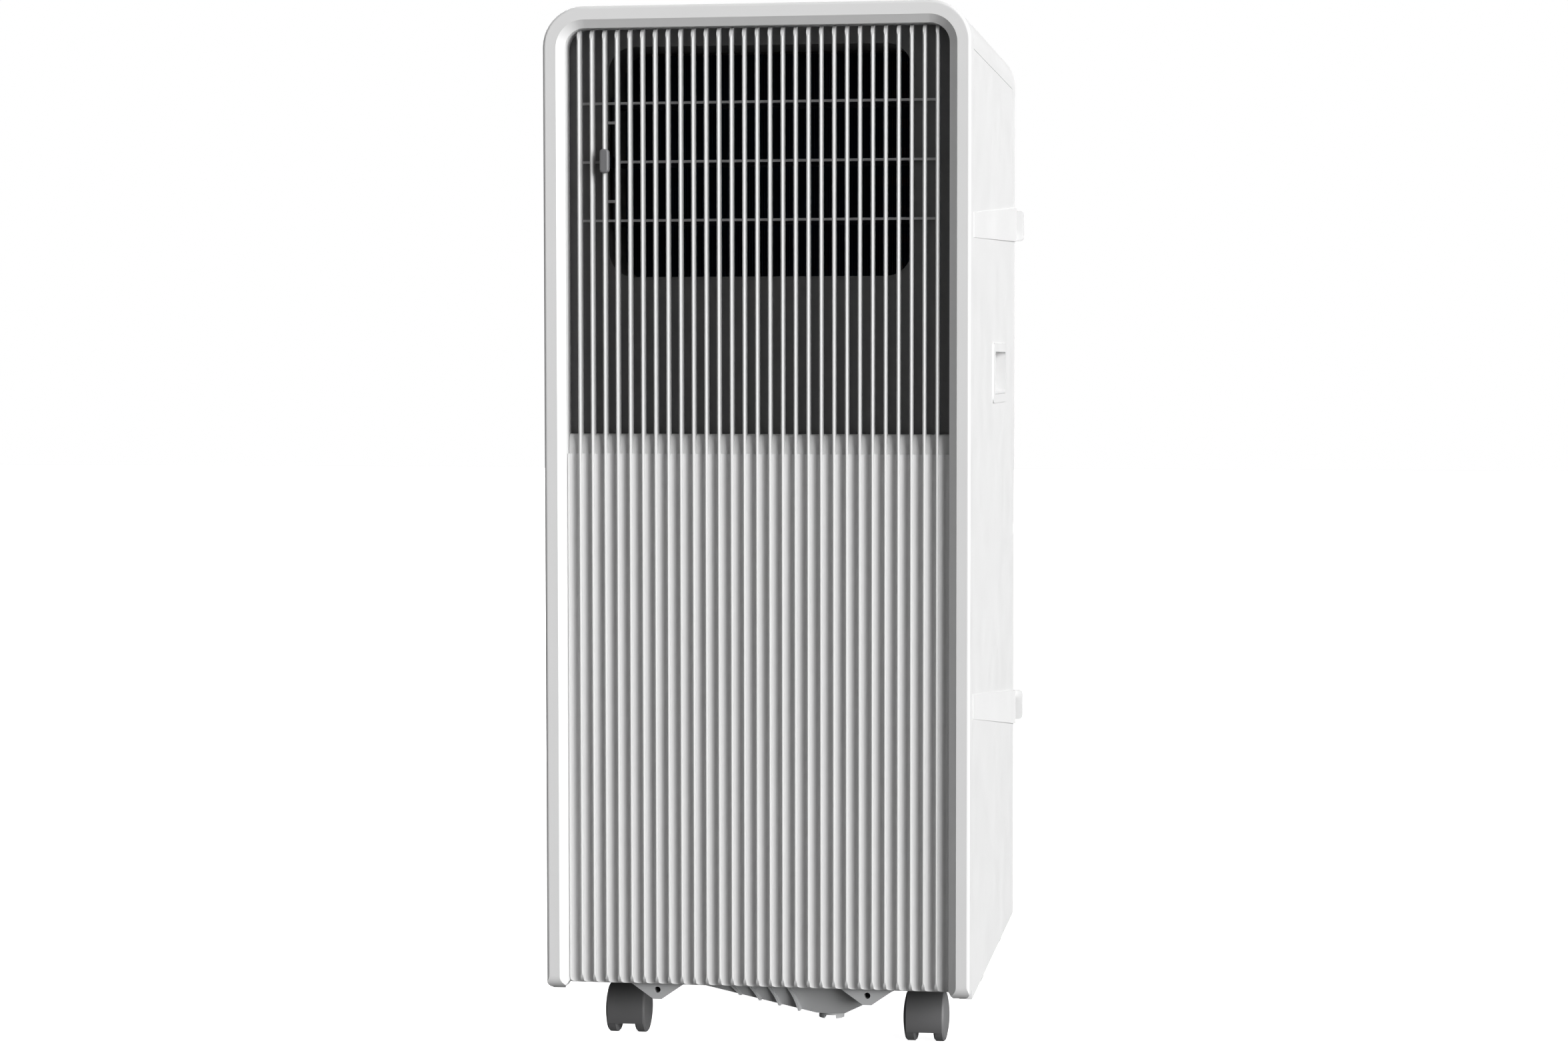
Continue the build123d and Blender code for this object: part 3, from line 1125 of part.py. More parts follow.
# ---- condenser at the rear, compressor and pipes -------------------------------------------
CONDENSER_FRONT = 118
CONDENSER_WIDTH = 226
CONDENSER_LOW, CONDENSER_HIGH = 98, 370
save(build_coil(CONDENSER_FRONT, CONDENSER_WIDTH, CONDENSER_LOW, CONDENSER_HIGH), "condenser_coil")

COMPRESSOR_X, COMPRESSOR_Y = -52, -92
COMPRESSOR_RADIUS = 56
COMPRESSOR_LOW = 72
COMPRESSOR_HEIGHT = 190
FOOT_CIRCLE = 66
FOOT_HOLE = 5
FOOT_THICKNESS = 3
ACCUMULATOR_X = 76  # from the compressor's axis
ACCUMULATOR_RADIUS = 16
ACCUMULATOR_LENGTH = 120
SHELL_THICKNESS = 18

with BuildPart() as compressor:
    with BuildSketch(level(COMPRESSOR_LOW)):
        with Locations((COMPRESSOR_X, COMPRESSOR_Y)):
            Circle(COMPRESSOR_RADIUS)
    extrude(amount=COMPRESSOR_HEIGHT)
    fillet(compressor.faces().filter_by(Axis.Z).edges(), radius=20)
    with BuildSketch(level(COMPRESSOR_LOW)):
        with Locations((COMPRESSOR_X, COMPRESSOR_Y)):
            RegularPolygon(FOOT_CIRCLE + 12, 3)
            with PolarLocations(FOOT_CIRCLE, 3):
                Circle(FOOT_HOLE, mode=Mode.SUBTRACT)
    extrude(amount=FOOT_THICKNESS)
    with Locations((COMPRESSOR_X, COMPRESSOR_Y, COMPRESSOR_LOW + COMPRESSOR_HEIGHT / 2)):
        Cylinder(
            COMPRESSOR_RADIUS - SHELL_THICKNESS, COMPRESSOR_HEIGHT - 60, mode=Mode.SUBTRACT
        )
    # accumulator beside the shell, and the lug between them
    with BuildSketch(level(COMPRESSOR_LOW + 30)):
        with Locations((COMPRESSOR_X + ACCUMULATOR_X, COMPRESSOR_Y)):
            Circle(ACCUMULATOR_RADIUS)
    extrude(amount=ACCUMULATOR_LENGTH)
    with Locations((COMPRESSOR_X + 58, COMPRESSOR_Y, COMPRESSOR_LOW + 60)):
        Box(12, 10, 14)
save(compressor.part, "compressor")

with BuildPart() as compressor_grommets:
    with Locations((COMPRESSOR_X, COMPRESSOR_Y, BODY_BOTTOM + PAN_WALL)):
        with PolarLocations(FOOT_CIRCLE, 3):
            Cylinder(
                8,
                COMPRESSOR_LOW - BODY_BOTTOM - PAN_WALL,
                align=(Align.CENTER, Align.CENTER, Align.MIN),
            )
            Cylinder(
                FOOT_HOLE - 0.2,
                COMPRESSOR_LOW - BODY_BOTTOM - PAN_WALL + 7,
                align=(Align.CENTER, Align.CENTER, Align.MIN),
            )
save(compressor_grommets.part, "compressor_grommets")

PIPE_RADIUS = 3.2
pipe_top = COMPRESSOR_LOW + COMPRESSOR_HEIGHT
suction = [
    (COMPRESSOR_X + ACCUMULATOR_X, COMPRESSOR_Y, COMPRESSOR_LOW + 150),
    (COMPRESSOR_X + ACCUMULATOR_X, COMPRESSOR_Y, 418),
    (124, COMPRESSOR_Y, 418),
    (124, COMPRESSOR_Y, 598),
]
discharge = [
    (COMPRESSOR_X, COMPRESSOR_Y, pipe_top),
    (COMPRESSOR_X, COMPRESSOR_Y, 348),
    (-130, COMPRESSOR_Y, 348),
    (-130, CONDENSER_FRONT + COIL_DEPTH / 2, 348),
    (-130, CONDENSER_FRONT + COIL_DEPTH / 2, 298),
]
with BuildPart() as refrigerant_pipes:
    for route in (suction, discharge):
        with BuildLine() as path:
            FilletPolyline(*route, radius=18)
        start = Plane(origin=route[0], z_dir=(0, 0, 1))
        with BuildSketch(start):
            Circle(PIPE_RADIUS)
        sweep(path=path.wires()[0])
save(refrigerant_pipes.part, "refrigerant_pipes")

# ---- control box and board -----------------------------------------------------------------
BOX_X, BOX_Y, BOX_Z = 96, -128, 248
BOX_SIZE = (84, 44, 190)
BOX_WALL = 2
BOARD_SIZE = (76, 1.6, 180)
BOARD_Y = BOX_Y - 14
# height of its middle, width and height of each large component
BOARD_PARTS = ((298, 30, 34), (248, 44, 26), (194, 24, 30))
PART_DEPTH = 17

with BuildPart() as control_box:
    with Locations((BOX_X, BOX_Y, BOX_Z)):
        Box(*BOX_SIZE)
        Box(*[side - 2 * BOX_WALL for side in BOX_SIZE], mode=Mode.SUBTRACT)
save(control_box.part, "control_box")

with BuildPart() as control_board:
    with Locations((BOX_X, BOARD_Y, BOX_Z)):
        Box(*BOARD_SIZE)
    for z, width, height in BOARD_PARTS:
        with Locations((BOX_X, BOARD_Y + BOARD_SIZE[1] / 2 + PART_DEPTH / 2 - 0.3, z)):
            Box(width, PART_DEPTH, height)
save(control_board.part, "control_board")

# ---- housing screws: pan heads on the rear cover --------------------------------------------
SCREW_HEAD_RADIUS = 3.8
SCREW_HEAD_HEIGHT = 1.8
CROSS_LENGTH, CROSS_WIDTH, CROSS_FLOOR = 4.4, 0.9, 0.8

with BuildPart() as housing_screws:
    for x, z in rear_screw_places:
        with BuildSketch(upright(REAR)):
            with Locations((x, z)):
                Circle(SCREW_HEAD_RADIUS)
                with Locations((0, 0)):
                    Rectangle(CROSS_LENGTH, CROSS_WIDTH, mode=Mode.SUBTRACT)
                    Rectangle(CROSS_WIDTH, CROSS_LENGTH, mode=Mode.SUBTRACT)
        extrude(amount=-SCREW_HEAD_HEIGHT)
        with BuildSketch(upright(REAR)):
            with Locations((x, z)):
                Circle(SCREW_RADIUS)
        extrude(amount=SCREW_LENGTH)
        with BuildSketch(upright(REAR)):
            with Locations((x, z)):
                Circle(SCREW_HEAD_RADIUS)
        extrude(amount=-CROSS_FLOOR)
save(housing_screws.part, "housing_screws")
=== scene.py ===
"""Looks for the portable air conditioner: materials, detail pieces, floor, lights, camera.

Metres, +Z up; the front faces -Y.
"""

import json
import math

import bpy
from mathutils import Matrix, Vector


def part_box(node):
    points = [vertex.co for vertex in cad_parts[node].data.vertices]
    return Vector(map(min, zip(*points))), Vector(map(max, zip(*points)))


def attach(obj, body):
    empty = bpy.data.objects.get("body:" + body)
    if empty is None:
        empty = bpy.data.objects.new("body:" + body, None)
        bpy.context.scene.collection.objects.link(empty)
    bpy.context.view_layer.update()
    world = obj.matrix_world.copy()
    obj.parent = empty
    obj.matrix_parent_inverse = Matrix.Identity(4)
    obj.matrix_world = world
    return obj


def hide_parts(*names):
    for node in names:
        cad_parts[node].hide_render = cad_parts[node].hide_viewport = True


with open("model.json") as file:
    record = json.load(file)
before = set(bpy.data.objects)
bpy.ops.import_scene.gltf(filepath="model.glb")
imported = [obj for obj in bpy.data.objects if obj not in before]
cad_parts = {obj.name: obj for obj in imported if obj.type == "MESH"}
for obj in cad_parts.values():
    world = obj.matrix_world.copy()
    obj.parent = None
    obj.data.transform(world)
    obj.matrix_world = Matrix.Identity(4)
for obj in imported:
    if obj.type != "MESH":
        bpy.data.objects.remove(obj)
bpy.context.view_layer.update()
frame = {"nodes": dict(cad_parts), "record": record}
MM = 0.001

# ---- node helpers --------------------------------------------------------------------------


def add_node(tree, kind, inputs=None, **settings):
    """A new shader node with its settings and its input defaults."""
    made = tree.nodes.new(kind)
    for key, value in settings.items():
        setattr(made, key, value)
    for key, value in (inputs or {}).items():
        made.inputs[key].default_value = value
    return made


def new_material(name):
    """An empty node material as (material, tree, shader), the shader joined to the output."""
    material = bpy.data.materials.new(name)
    material.use_nodes = True
    tree = material.node_tree
    tree.nodes.clear()
    output = tree.nodes.new("ShaderNodeOutputMaterial")
    shader = tree.nodes.new("ShaderNodeBsdfPrincipled")
    tree.links.new(shader.outputs["BSDF"], output.inputs["Surface"])
    return material, tree, shader


def noise(tree, scale, detail=3.0, stretch=(1, 1, 1), roughness=0.5):
    """Noise over the object's own coordinates, stretched along an axis if asked."""
    where = add_node(tree, "ShaderNodeTexCoord")
    mapping = add_node(tree, "ShaderNodeMapping", {"Scale": stretch})
    texture = add_node(
        tree, "ShaderNodeTexNoise", {"Scale": scale, "Detail": detail, "Roughness": roughness}
    )
    tree.links.new(where.outputs["Object"], mapping.inputs["Vector"])
    tree.links.new(mapping.outputs["Vector"], texture.inputs["Vector"])
    return texture.outputs["Fac"]


def remap(tree, value, low, high, from_low=0.3, from_high=0.7):
    """value, from its own span, clamped into low to high."""
    made = add_node(
        tree,
        "ShaderNodeMapRange",
        {"From Min": from_low, "From Max": from_high, "To Min": low, "To Max": high},
    )
    tree.links.new(value, made.inputs["Value"])
    return made.outputs["Result"]


def mix_colours(tree, amount, first, second):
    """Colour from first to second by amount; each is a colour or a socket."""
    made = add_node(tree, "ShaderNodeMix", data_type="RGBA")
    tree.links.new(amount, made.inputs["Factor"])
    for socket, colour in ((made.inputs[6], first), (made.inputs[7], second)):
        if isinstance(colour, bpy.types.NodeSocket):
            tree.links.new(colour, socket)
        else:
            socket.default_value = (*colour, 1)
    return made.outputs[2]


def bump(tree, height, depth):
    """A bump of that depth in metres."""
    made = add_node(tree, "ShaderNodeBump", {"Strength": 1.0, "Distance": depth})
    tree.links.new(height, made.inputs["Height"])
    return made.outputs["Normal"]


def shade(colour, factor):
    """The colour made lighter or darker."""
    return tuple(min(1.0, channel * factor) for channel in colour)


def edge_mask(tree, radius):
    """1 along sharp edges and 0 on flat faces."""
    rounded = add_node(tree, "ShaderNodeBevel", {"Radius": radius}, samples=4)
    flat = add_node(tree, "ShaderNodeNewGeometry")
    dot = add_node(tree, "ShaderNodeVectorMath", operation="DOT_PRODUCT")
    tree.links.new(rounded.outputs["Normal"], dot.inputs[0])
    tree.links.new(flat.outputs["Normal"], dot.inputs[1])
    return remap(tree, dot.outputs["Value"], 1.0, 0.0, 0.75, 0.99)


# ---- materials: texture scales are in cycles per metre -------------------------------------
CLOUD_SCALE = 9
GLOSS_SCALE = 38
GRAIN_SCALE = 1500
SCUFF_SCALE = 160
SCUFF_WIDTH = 0.5 * MM
SCUFF_SHADE = 2.2
PLASTIC_IOR = 1.49
RUBBER_IOR = 1.52


def moulded(name, colour, rough, grain_depth=0.012 * MM, mottle=0.03, worn_edges=0.0):
    """Moulded plastic: grain, faint mottling, uneven gloss and, if asked, worn edges."""
    material, tree, shader = new_material(name)
    clouds = remap(tree, noise(tree, CLOUD_SCALE, 4), 0, 1)
    tone = mix_colours(tree, clouds, shade(colour, 1 - mottle), shade(colour, 1 + mottle))
    if worn_edges:
        scuffs = add_node(tree, "ShaderNodeMath", operation="MULTIPLY")
        tree.links.new(edge_mask(tree, SCUFF_WIDTH), scuffs.inputs[0])
        tree.links.new(remap(tree, noise(tree, SCUFF_SCALE, 5), 0, worn_edges), scuffs.inputs[1])
        tone = mix_colours(tree, scuffs.outputs[0], tone, shade(colour, SCUFF_SHADE))
    tree.links.new(tone, shader.inputs["Base Color"])
    gloss = remap(tree, noise(tree, GLOSS_SCALE, 5), rough - 0.05, rough + 0.06)
    tree.links.new(gloss, shader.inputs["Roughness"])
    tree.links.new(bump(tree, noise(tree, GRAIN_SCALE, 2), grain_depth), shader.inputs["Normal"])
    shader.inputs["IOR"].default_value = PLASTIC_IOR
    return material


def rubber(name, colour):
    """Dull rubber with a fine dusty bloom."""
    material, tree, shader = new_material(name)
    dust = remap(tree, noise(tree, 120, 6), 0, 1, 0.4, 0.75)
    tone = mix_colours(tree, dust, colour, shade(colour, 1.7))
    tree.links.new(tone, shader.inputs["Base Color"])
    tree.links.new(remap(tree, noise(tree, 60, 4), 0.62, 0.82), shader.inputs["Roughness"])
    tree.links.new(bump(tree, noise(tree, 900, 3), 0.03 * MM), shader.inputs["Normal"])
    shader.inputs["IOR"].default_value = RUBBER_IOR
    return material


def metal(name, colour, rough, stretch=(1, 1, 1), depth=0.01 * MM, metallic=1.0):
    """Metal or painted metal, with a drawn grain along the axis that stretch keeps short."""
    material, tree, shader = new_material(name)
    lines = noise(tree, 420, 4, stretch)
    tarnish = remap(tree, noise(tree, 30, 5), 0, 1)
    tone = mix_colours(tree, tarnish, shade(colour, 0.8), shade(colour, 1.1))
    tree.links.new(tone, shader.inputs["Base Color"])
    tree.links.new(remap(tree, lines, rough - 0.08, rough + 0.1), shader.inputs["Roughness"])
    tree.links.new(bump(tree, lines, depth), shader.inputs["Normal"])
    shader.inputs["Metallic"].default_value = metallic
    return material


def gloss_panel(name, colour):
    """Smooth black acrylic with faint wipe marks under a clear hard coat."""
    material, tree, shader = new_material(name)
    smears = noise(tree, 22, 6, (1, 3, 1))
    tone = mix_colours(tree, remap(tree, smears, 0, 1), colour, shade(colour, 1.5))
    tree.links.new(tone, shader.inputs["Base Color"])
    tree.links.new(remap(tree, smears, 0.06, 0.2), shader.inputs["Roughness"])
    shader.inputs["Coat Weight"].default_value = 0.6
    shader.inputs["Coat Roughness"].default_value = 0.05
    return material


def glowing(name, colour, strength):
    """A lit display segment: uneven light behind a diffusing film."""
    material, tree, shader = new_material(name)
    patch = remap(tree, noise(tree, 500, 2), 0, 1)
    tone = mix_colours(tree, patch, shade(colour, 0.85), colour)
    tree.links.new(tone, shader.inputs["Base Color"])
    tree.links.new(tone, shader.inputs["Emission Color"])
    shader.inputs["Emission Strength"].default_value = strength
    shader.inputs["Roughness"].default_value = 0.3
    return material


def circuit_board(name):
    """Green lacquered board with lighter copper traces in a square maze."""
    material, tree, shader = new_material(name)
    where = add_node(tree, "ShaderNodeTexCoord")
    traces = add_node(
        tree,
        "ShaderNodeTexBrick",
        {
            "Color1": (0.02, 0.13, 0.05, 1),
            "Color2": (0.03, 0.17, 0.06, 1),
            "Mortar": (0.12, 0.3, 0.1, 1),
            "Scale": 60.0,
            "Mortar Size": 0.06,
        },
    )
    turned = add_node(tree, "ShaderNodeMapping", {"Rotation": (math.pi / 2, 0, 0)})
    tree.links.new(where.outputs["Object"], turned.inputs["Vector"])
    tree.links.new(turned.outputs["Vector"], traces.inputs["Vector"])
    tree.links.new(traces.outputs["Color"], shader.inputs["Base Color"])
    tree.links.new(remap(tree, noise(tree, 200, 3), 0.25, 0.45), shader.inputs["Roughness"])
    tree.links.new(bump(tree, traces.outputs["Fac"], 0.05 * MM), shader.inputs["Normal"])
    return material


WHITE = (0.66, 0.66, 0.66)
GRILLE_SHADED_WHITE = (0.56, 0.56, 0.56)  # painted shade: the ribbed front is a shade greyer than the case so its grooves read darker
# painted highlight: the cord hooks are a lighter white than the case so they read brighter
HOOK_HIGHLIGHT_WHITE = (0.69, 0.69, 0.69)
WHITE_ROUGH = 0.5
WHITE_GRAIN = 0.008 * MM
WHITE_MOTTLE = 0.012


def white_plastic(name, colour):
    """Fine-grained white case plastic."""
    return moulded(name, colour, WHITE_ROUGH, WHITE_GRAIN, mottle=WHITE_MOTTLE)


materials = {
    "white_plastic": white_plastic("white_plastic", WHITE),
    "dark_plastic": moulded("dark_plastic", (0.16, 0.16, 0.162), 0.66, 0.02 * MM),
    "bar_plastic": moulded("bar_plastic", (0.48, 0.48, 0.485), 0.6, 0.02 * MM),
    "louvre_plastic": moulded("louvre_plastic", (0.013, 0.015, 0.023), 0.5),
    "knob_plastic": moulded("knob_plastic", (0.15, 0.15, 0.155), 0.48, 0.02 * MM),
    "gloss_panel": gloss_panel("gloss_panel", (0.012, 0.012, 0.014)),
    "button_plastic": moulded("button_plastic", (0.6, 0.61, 0.62), 0.36),
    "grey_plastic": moulded(
        "grey_plastic", (0.36, 0.364, 0.368), 0.5, 0.03 * MM, 0.06, worn_edges=0.4
    ),
    "caster_plastic": moulded(
        "caster_plastic", (0.118, 0.118, 0.12), 0.48, 0.03 * MM, 0.06, worn_edges=0.6
    ),
    "wheel_plastic": moulded(
        "wheel_plastic", (0.125, 0.125, 0.127), 0.52, 0.03 * MM, 0.08, worn_edges=0.8
    ),
    "fan_plastic": moulded("fan_plastic", (0.08, 0.08, 0.085), 0.45, 0.02 * MM, 0.05),
    "motor_metal": metal("motor_metal", (0.45, 0.45, 0.46), 0.42, (1, 0.05, 1)),
    "compressor_paint": metal(
        "compressor_paint", (0.02, 0.02, 0.021), 0.3, (1, 1, 0.2), 0.03 * MM, metallic=0.0
    ),
    "rubber": rubber("rubber", (0.035, 0.035, 0.037)),
    "coil_fins": metal("coil_fins", (0.02, 0.05, 0.1), 0.5, (1, 1, 0.1), metallic=0.4),
    "copper": metal("copper", (0.72, 0.34, 0.2), 0.32, (1, 1, 0.05)),
    "circuit_board": circuit_board("circuit_board"),
    "screw_steel": metal("screw_steel", (0.55, 0.55, 0.56), 0.34),
    "filter_mesh": moulded("filter_mesh", (0.055, 0.06, 0.07), 0.55),
}
display_glow = glowing("display_glow", (0.55, 0.85, 1.0), 2.5)
mark_ink = moulded("mark_ink", (0.06, 0.06, 0.065), 0.5, 0.004 * MM)

for part in frame["record"]["subparts"]:
    shown = frame["nodes"][part["node"]]
    shown.data.materials.clear()
    shown.data.materials.append(materials[part["material_slot"]])

# lit and shaded copies of the white moulding: the grille's greyer white is painted shade for its
# grooves, the hooks' lighter white is a painted highlight
shaded_and_lit_whites = (
    ("white_plastic_grille_painted_shade", GRILLE_SHADED_WHITE, ("front_grille",)),
    ("white_plastic_hook_painted_highlight", HOOK_HIGHLIGHT_WHITE, ("cord_hook_upper", "cord_hook_lower")),
)
for painted_light_name, painted_light_colour, painted_light_nodes in shaded_and_lit_whites:
    painted_light_material = white_plastic(painted_light_name, painted_light_colour)
    for painted_light_node in painted_light_nodes:
        frame["nodes"][painted_light_node].data.materials[0] = painted_light_material

# ---- mesh helpers for the detail pieces ----------------------------------------------------


BOX_FACES = ((0, 1, 3, 2), (4, 6, 7, 5), (0, 4, 5, 1), (2, 3, 7, 6), (0, 2, 6, 4), (1, 5, 7, 3))


def add_box(shape, low, high):
    """A closed box from its lowest to its highest corner."""
    points, faces = shape
    first = len(points)
    for x in (low[0], high[0]):
        for y in (low[1], high[1]):
            for z in (low[2], high[2]):
                points.append((x, y, z))
    for face in BOX_FACES:
        faces.append(tuple(first + n for n in face))


def add_tube(shape, path, radius, sides, across):
    """A closed round tube along a path that lies in the plane square to the unit vector across."""
    points, faces = shape
    first = len(points)
    across = Vector(across)
    path = [Vector(p) for p in path]
    for n, here in enumerate(path):
        ahead = path[min(n + 1, len(path) - 1)] - path[max(n - 1, 0)]
        normal = across.cross(ahead).normalized()
        for k in range(sides):
            angle = 2 * math.pi * (k + 0.5) / sides
            points.append(here + radius * (math.cos(angle) * across + math.sin(angle) * normal))
    for n in range(len(path) - 1):
        for k in range(sides):
            a = first + n * sides + k
            b = first + n * sides + (k + 1) % sides
            faces.append((a, a + sides, b + sides, b))
    faces.append(tuple(first + k for k in range(sides)))
    faces.append(tuple(first + (len(path) - 1) * sides + k for k in reversed(range(sides))))


def add_prism(shape, outline, low, high):
    """A closed outline in X and Y, anticlockwise from above, from one height to another."""
    points, faces = shape
    first = len(points)
    count = len(outline)
    points.extend((x, y, low) for x, y in outline)
    points.extend((x, y, high) for x, y in outline)
    faces.append(tuple(first + n for n in reversed(range(count))))
    faces.append(tuple(first + count + n for n in range(count)))
    for n in range(count):
        after = (n + 1) % count
        faces.append((first + n, first + after, first + count + after, first + count + n))


def make_piece(name, shape, slot_name, body, material=None, smooth=False):
    """The collected shape as an object that rides on a CAD body."""
    mesh = bpy.data.meshes.new(name)
    mesh.from_pydata([tuple(p) for p in shape[0]], [], shape[1])
    mesh.materials.append(material or materials[slot_name])
    for face in mesh.polygons:
        face.use_smooth = smooth and len(face.vertices) == 4
    mesh.validate()
    piece = bpy.data.objects.new(name, mesh)
    bpy.context.collection.objects.link(piece)
    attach(piece, body)
    return piece


# ---- coils: thin corrugated fins between end plates, on serpentine tubes ---------------------
FIN_PITCH = 1.8 * MM
FIN_THICKNESS = 0.16 * MM
FIN_WAVE = 0.45 * MM
FIN_FOLDS = 6
PLATE = 1.2 * MM
FIN_MARGIN = 1 * MM  # the fins end this far inside the block's top and bottom
TUBE_RADIUS = 3.4 * MM
TUBE_SIDES = 10
TUBE_PITCH = 20.5 * MM
TUBE_ROWS = (0.27, 0.73)  # places of the two rows across the block's depth
BEND_STEPS = 8


def finned_coil(node):
    """Fins and tubes that stand for the CAD's coil block."""
    low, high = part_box(node)
    bend_reach = TUBE_PITCH / 2 + TUBE_RADIUS
    left, right = low.x + bend_reach, high.x - bend_reach
    fins = ([], [])
    count = int((right - left) / FIN_PITCH)
    for n in range(count):
        x = left + (n + 0.5) * (right - left) / count
        points, faces = fins
        first = len(points)
        for k in range(FIN_FOLDS + 1):
            y = low.y + (high.y - low.y) * k / FIN_FOLDS
            fold = x + FIN_WAVE * (1 if k % 2 else -1)
            for side in (-1, 1):
                for z in (low.z + FIN_MARGIN, high.z - FIN_MARGIN):
                    points.append((fold + side * FIN_THICKNESS / 2, y, z))
        for k in range(FIN_FOLDS):
            a = first + 4 * k
            for near, far in ((0, 1), (1, 3), (3, 2), (2, 0)):
                faces.append((a + near, a + near + 4, a + far + 4, a + far))
        last = first + 4 * FIN_FOLDS
        faces.append((first, first + 1, first + 3, first + 2))
        faces.append((last, last + 2, last + 3, last + 1))
    for x in (left - PLATE, right):
        add_box(fins, (x, low.y, low.z), (x + PLATE, high.y, high.z))
    piece = make_piece(node + "_fins", fins, "coil_fins", "casing")
    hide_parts(node)

    tubes = ([], [])
    runs = int((high.z - low.z) / TUBE_PITCH)
    start = (low.z + high.z) / 2 - (runs - 1) * TUBE_PITCH / 2
    for row in TUBE_ROWS:
        y = low.y + row * (high.y - low.y)
        path = []
        for n in range(runs):
            z = start + n * TUBE_PITCH
            ends = [left - 2 * PLATE, right + 2 * PLATE]
            if n % 2:
                ends.reverse()
            path.extend(((ends[0], y, z), (ends[1], y, z)))
            if n == runs - 1:
                continue
            outward = 1 if n % 2 == 0 else -1
            for k in range(1, BEND_STEPS):
                angle = math.pi * k / BEND_STEPS
                bend_x = ends[1] + outward * math.sin(angle) * TUBE_PITCH / 2
                path.append((bend_x, y, z + (1 - math.cos(angle)) * TUBE_PITCH / 2))
        add_tube(tubes, path, TUBE_RADIUS, TUBE_SIDES, (0, 1, 0))
    make_piece(node + "_tubes", tubes, "copper", "casing", smooth=True)


for coil_node in ("evaporator_coil", "condenser_coil"):
    finned_coil(coil_node)

# ---- filter nets: square-woven threads ------------------------------------------------------
NET_PITCH = 3.4 * MM
THREAD_RADIUS = 0.26 * MM
THREAD_SIDES = 4
NET_WAVE = 0.2 * MM


def woven_net(node, body):
    """Threads over and under each other that stand for the CAD's plain sheet."""
    low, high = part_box(node)
    middle_y = (low.y + high.y) / 2
    columns = round((high.x - low.x) / NET_PITCH)
    rows = round((high.z - low.z) / NET_PITCH)
    column_step = (high.x - low.x) / columns
    row_step = (high.z - low.z) / rows
    net = ([], [])
    for n in range(columns):
        x = low.x + (n + 0.5) * column_step
        path = []
        for k in range(2 * rows + 1):
            swing = 0 if k % 2 == 0 else (1 if (n + k // 2) % 2 else -1)
            path.append((x, middle_y + swing * NET_WAVE, low.z + k * row_step / 2))
        add_tube(net, path, THREAD_RADIUS, THREAD_SIDES, (1, 0, 0))
    for n in range(rows):
        z = low.z + (n + 0.5) * row_step
        path = []
        for k in range(2 * columns + 1):
            swing = 0 if k % 2 == 0 else (-1 if (n + k // 2) % 2 else 1)
            path.append((low.x + k * column_step / 2, middle_y + swing * NET_WAVE, z))
        add_tube(net, path, THREAD_RADIUS, THREAD_SIDES, (0, 0, 1))
    piece = make_piece(node + "_net", net, "filter_mesh", body)
    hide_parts(node)


for filter_name in ("upper_filter", "lower_filter"):
    woven_net(filter_name + "_mesh", filter_name)

# ---- control panel: lit digits and generic button marks --------------------------------------
PRINT_HEIGHT = 0.06 * MM
PRINT_SINK = 0.02 * MM
DIGIT_WIDTH = 11 * MM
DIGIT_HEIGHT = 20 * MM
SEGMENT = 2.2 * MM
SEGMENT_GAP = 0.25 * MM
DIGIT_OFFSET = 9 * MM  # of each digit's middle from the panel's
DIGIT_DROP = 34 * MM  # of the digits' lower edge from the panel's back edge
SEGMENTS = {  # x and y of each segment's ends, in digit widths and half heights
    "top": ((0, 2), (1, 2)),
    "upper_left": ((0, 1), (0, 2)),
    "upper_right": ((1, 1), (1, 2)),
    "middle": ((0, 1), (1, 1)),
    "lower_left": ((0, 0), (0, 1)),
    "lower_right": ((1, 0), (1, 1)),
    "bottom": ((0, 0), (1, 0)),
}
DIGITS = (
    ("top", "upper_right", "middle", "lower_left", "bottom"),
    ("upper_left", "upper_right", "middle", "lower_right"),
)
overlay_low, overlay_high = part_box("control_overlay")
print_low = overlay_high.z - PRINT_SINK
print_high = overlay_high.z + PRINT_HEIGHT
panel_x = (overlay_low.x + overlay_high.x) / 2
button_middles = {}
for button in ("power", "mode", "speed", "up", "down"):
    button_low, button_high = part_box("button_" + button)
    button_middles[button] = (button_low + button_high) / 2
button_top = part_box("button_mode")[1].z

digits = ([], [])
digit_y = overlay_high.y - DIGIT_DROP
for place, lit in zip((-1, 1), DIGITS):
    digit_x = panel_x + place * DIGIT_OFFSET - DIGIT_WIDTH / 2
    for segment in lit:
        (x0, y0), (x1, y1) = SEGMENTS[segment]
        a = Vector((digit_x + x0 * DIGIT_WIDTH, digit_y + y0 * DIGIT_HEIGHT / 2))
        b = Vector((digit_x + x1 * DIGIT_WIDTH, digit_y + y1 * DIGIT_HEIGHT / 2))
        along = (b - a).normalized()
        side = Vector((along.y, -along.x)) * SEGMENT / 2
        tip = along * (SEGMENT / 2 + SEGMENT_GAP)
        a, b = a + along * SEGMENT_GAP, b - along * SEGMENT_GAP
        outline = [a, a + tip + side, b - tip + side, b, b - tip - side, a + tip - side]
        add_prism(digits, [(p.x, p.y) for p in outline], print_low, print_high)
make_piece("display_digits", digits, "gloss_panel", "casing", material=display_glow)


def arc_band(middle, radius, width, start, end, steps=24):
    """Outline of part of a ring, angles in degrees."""
    angles = [math.radians(start + (end - start) * n / steps) for n in range(steps + 1)]
    inner, outer = radius - width / 2, radius + width / 2
    ring = [(middle[0] + outer * math.cos(a), middle[1] + outer * math.sin(a)) for a in angles]
    for angle in reversed(angles):
        ring.append((middle[0] + inner * math.cos(angle), middle[1] + inner * math.sin(angle)))
    return ring


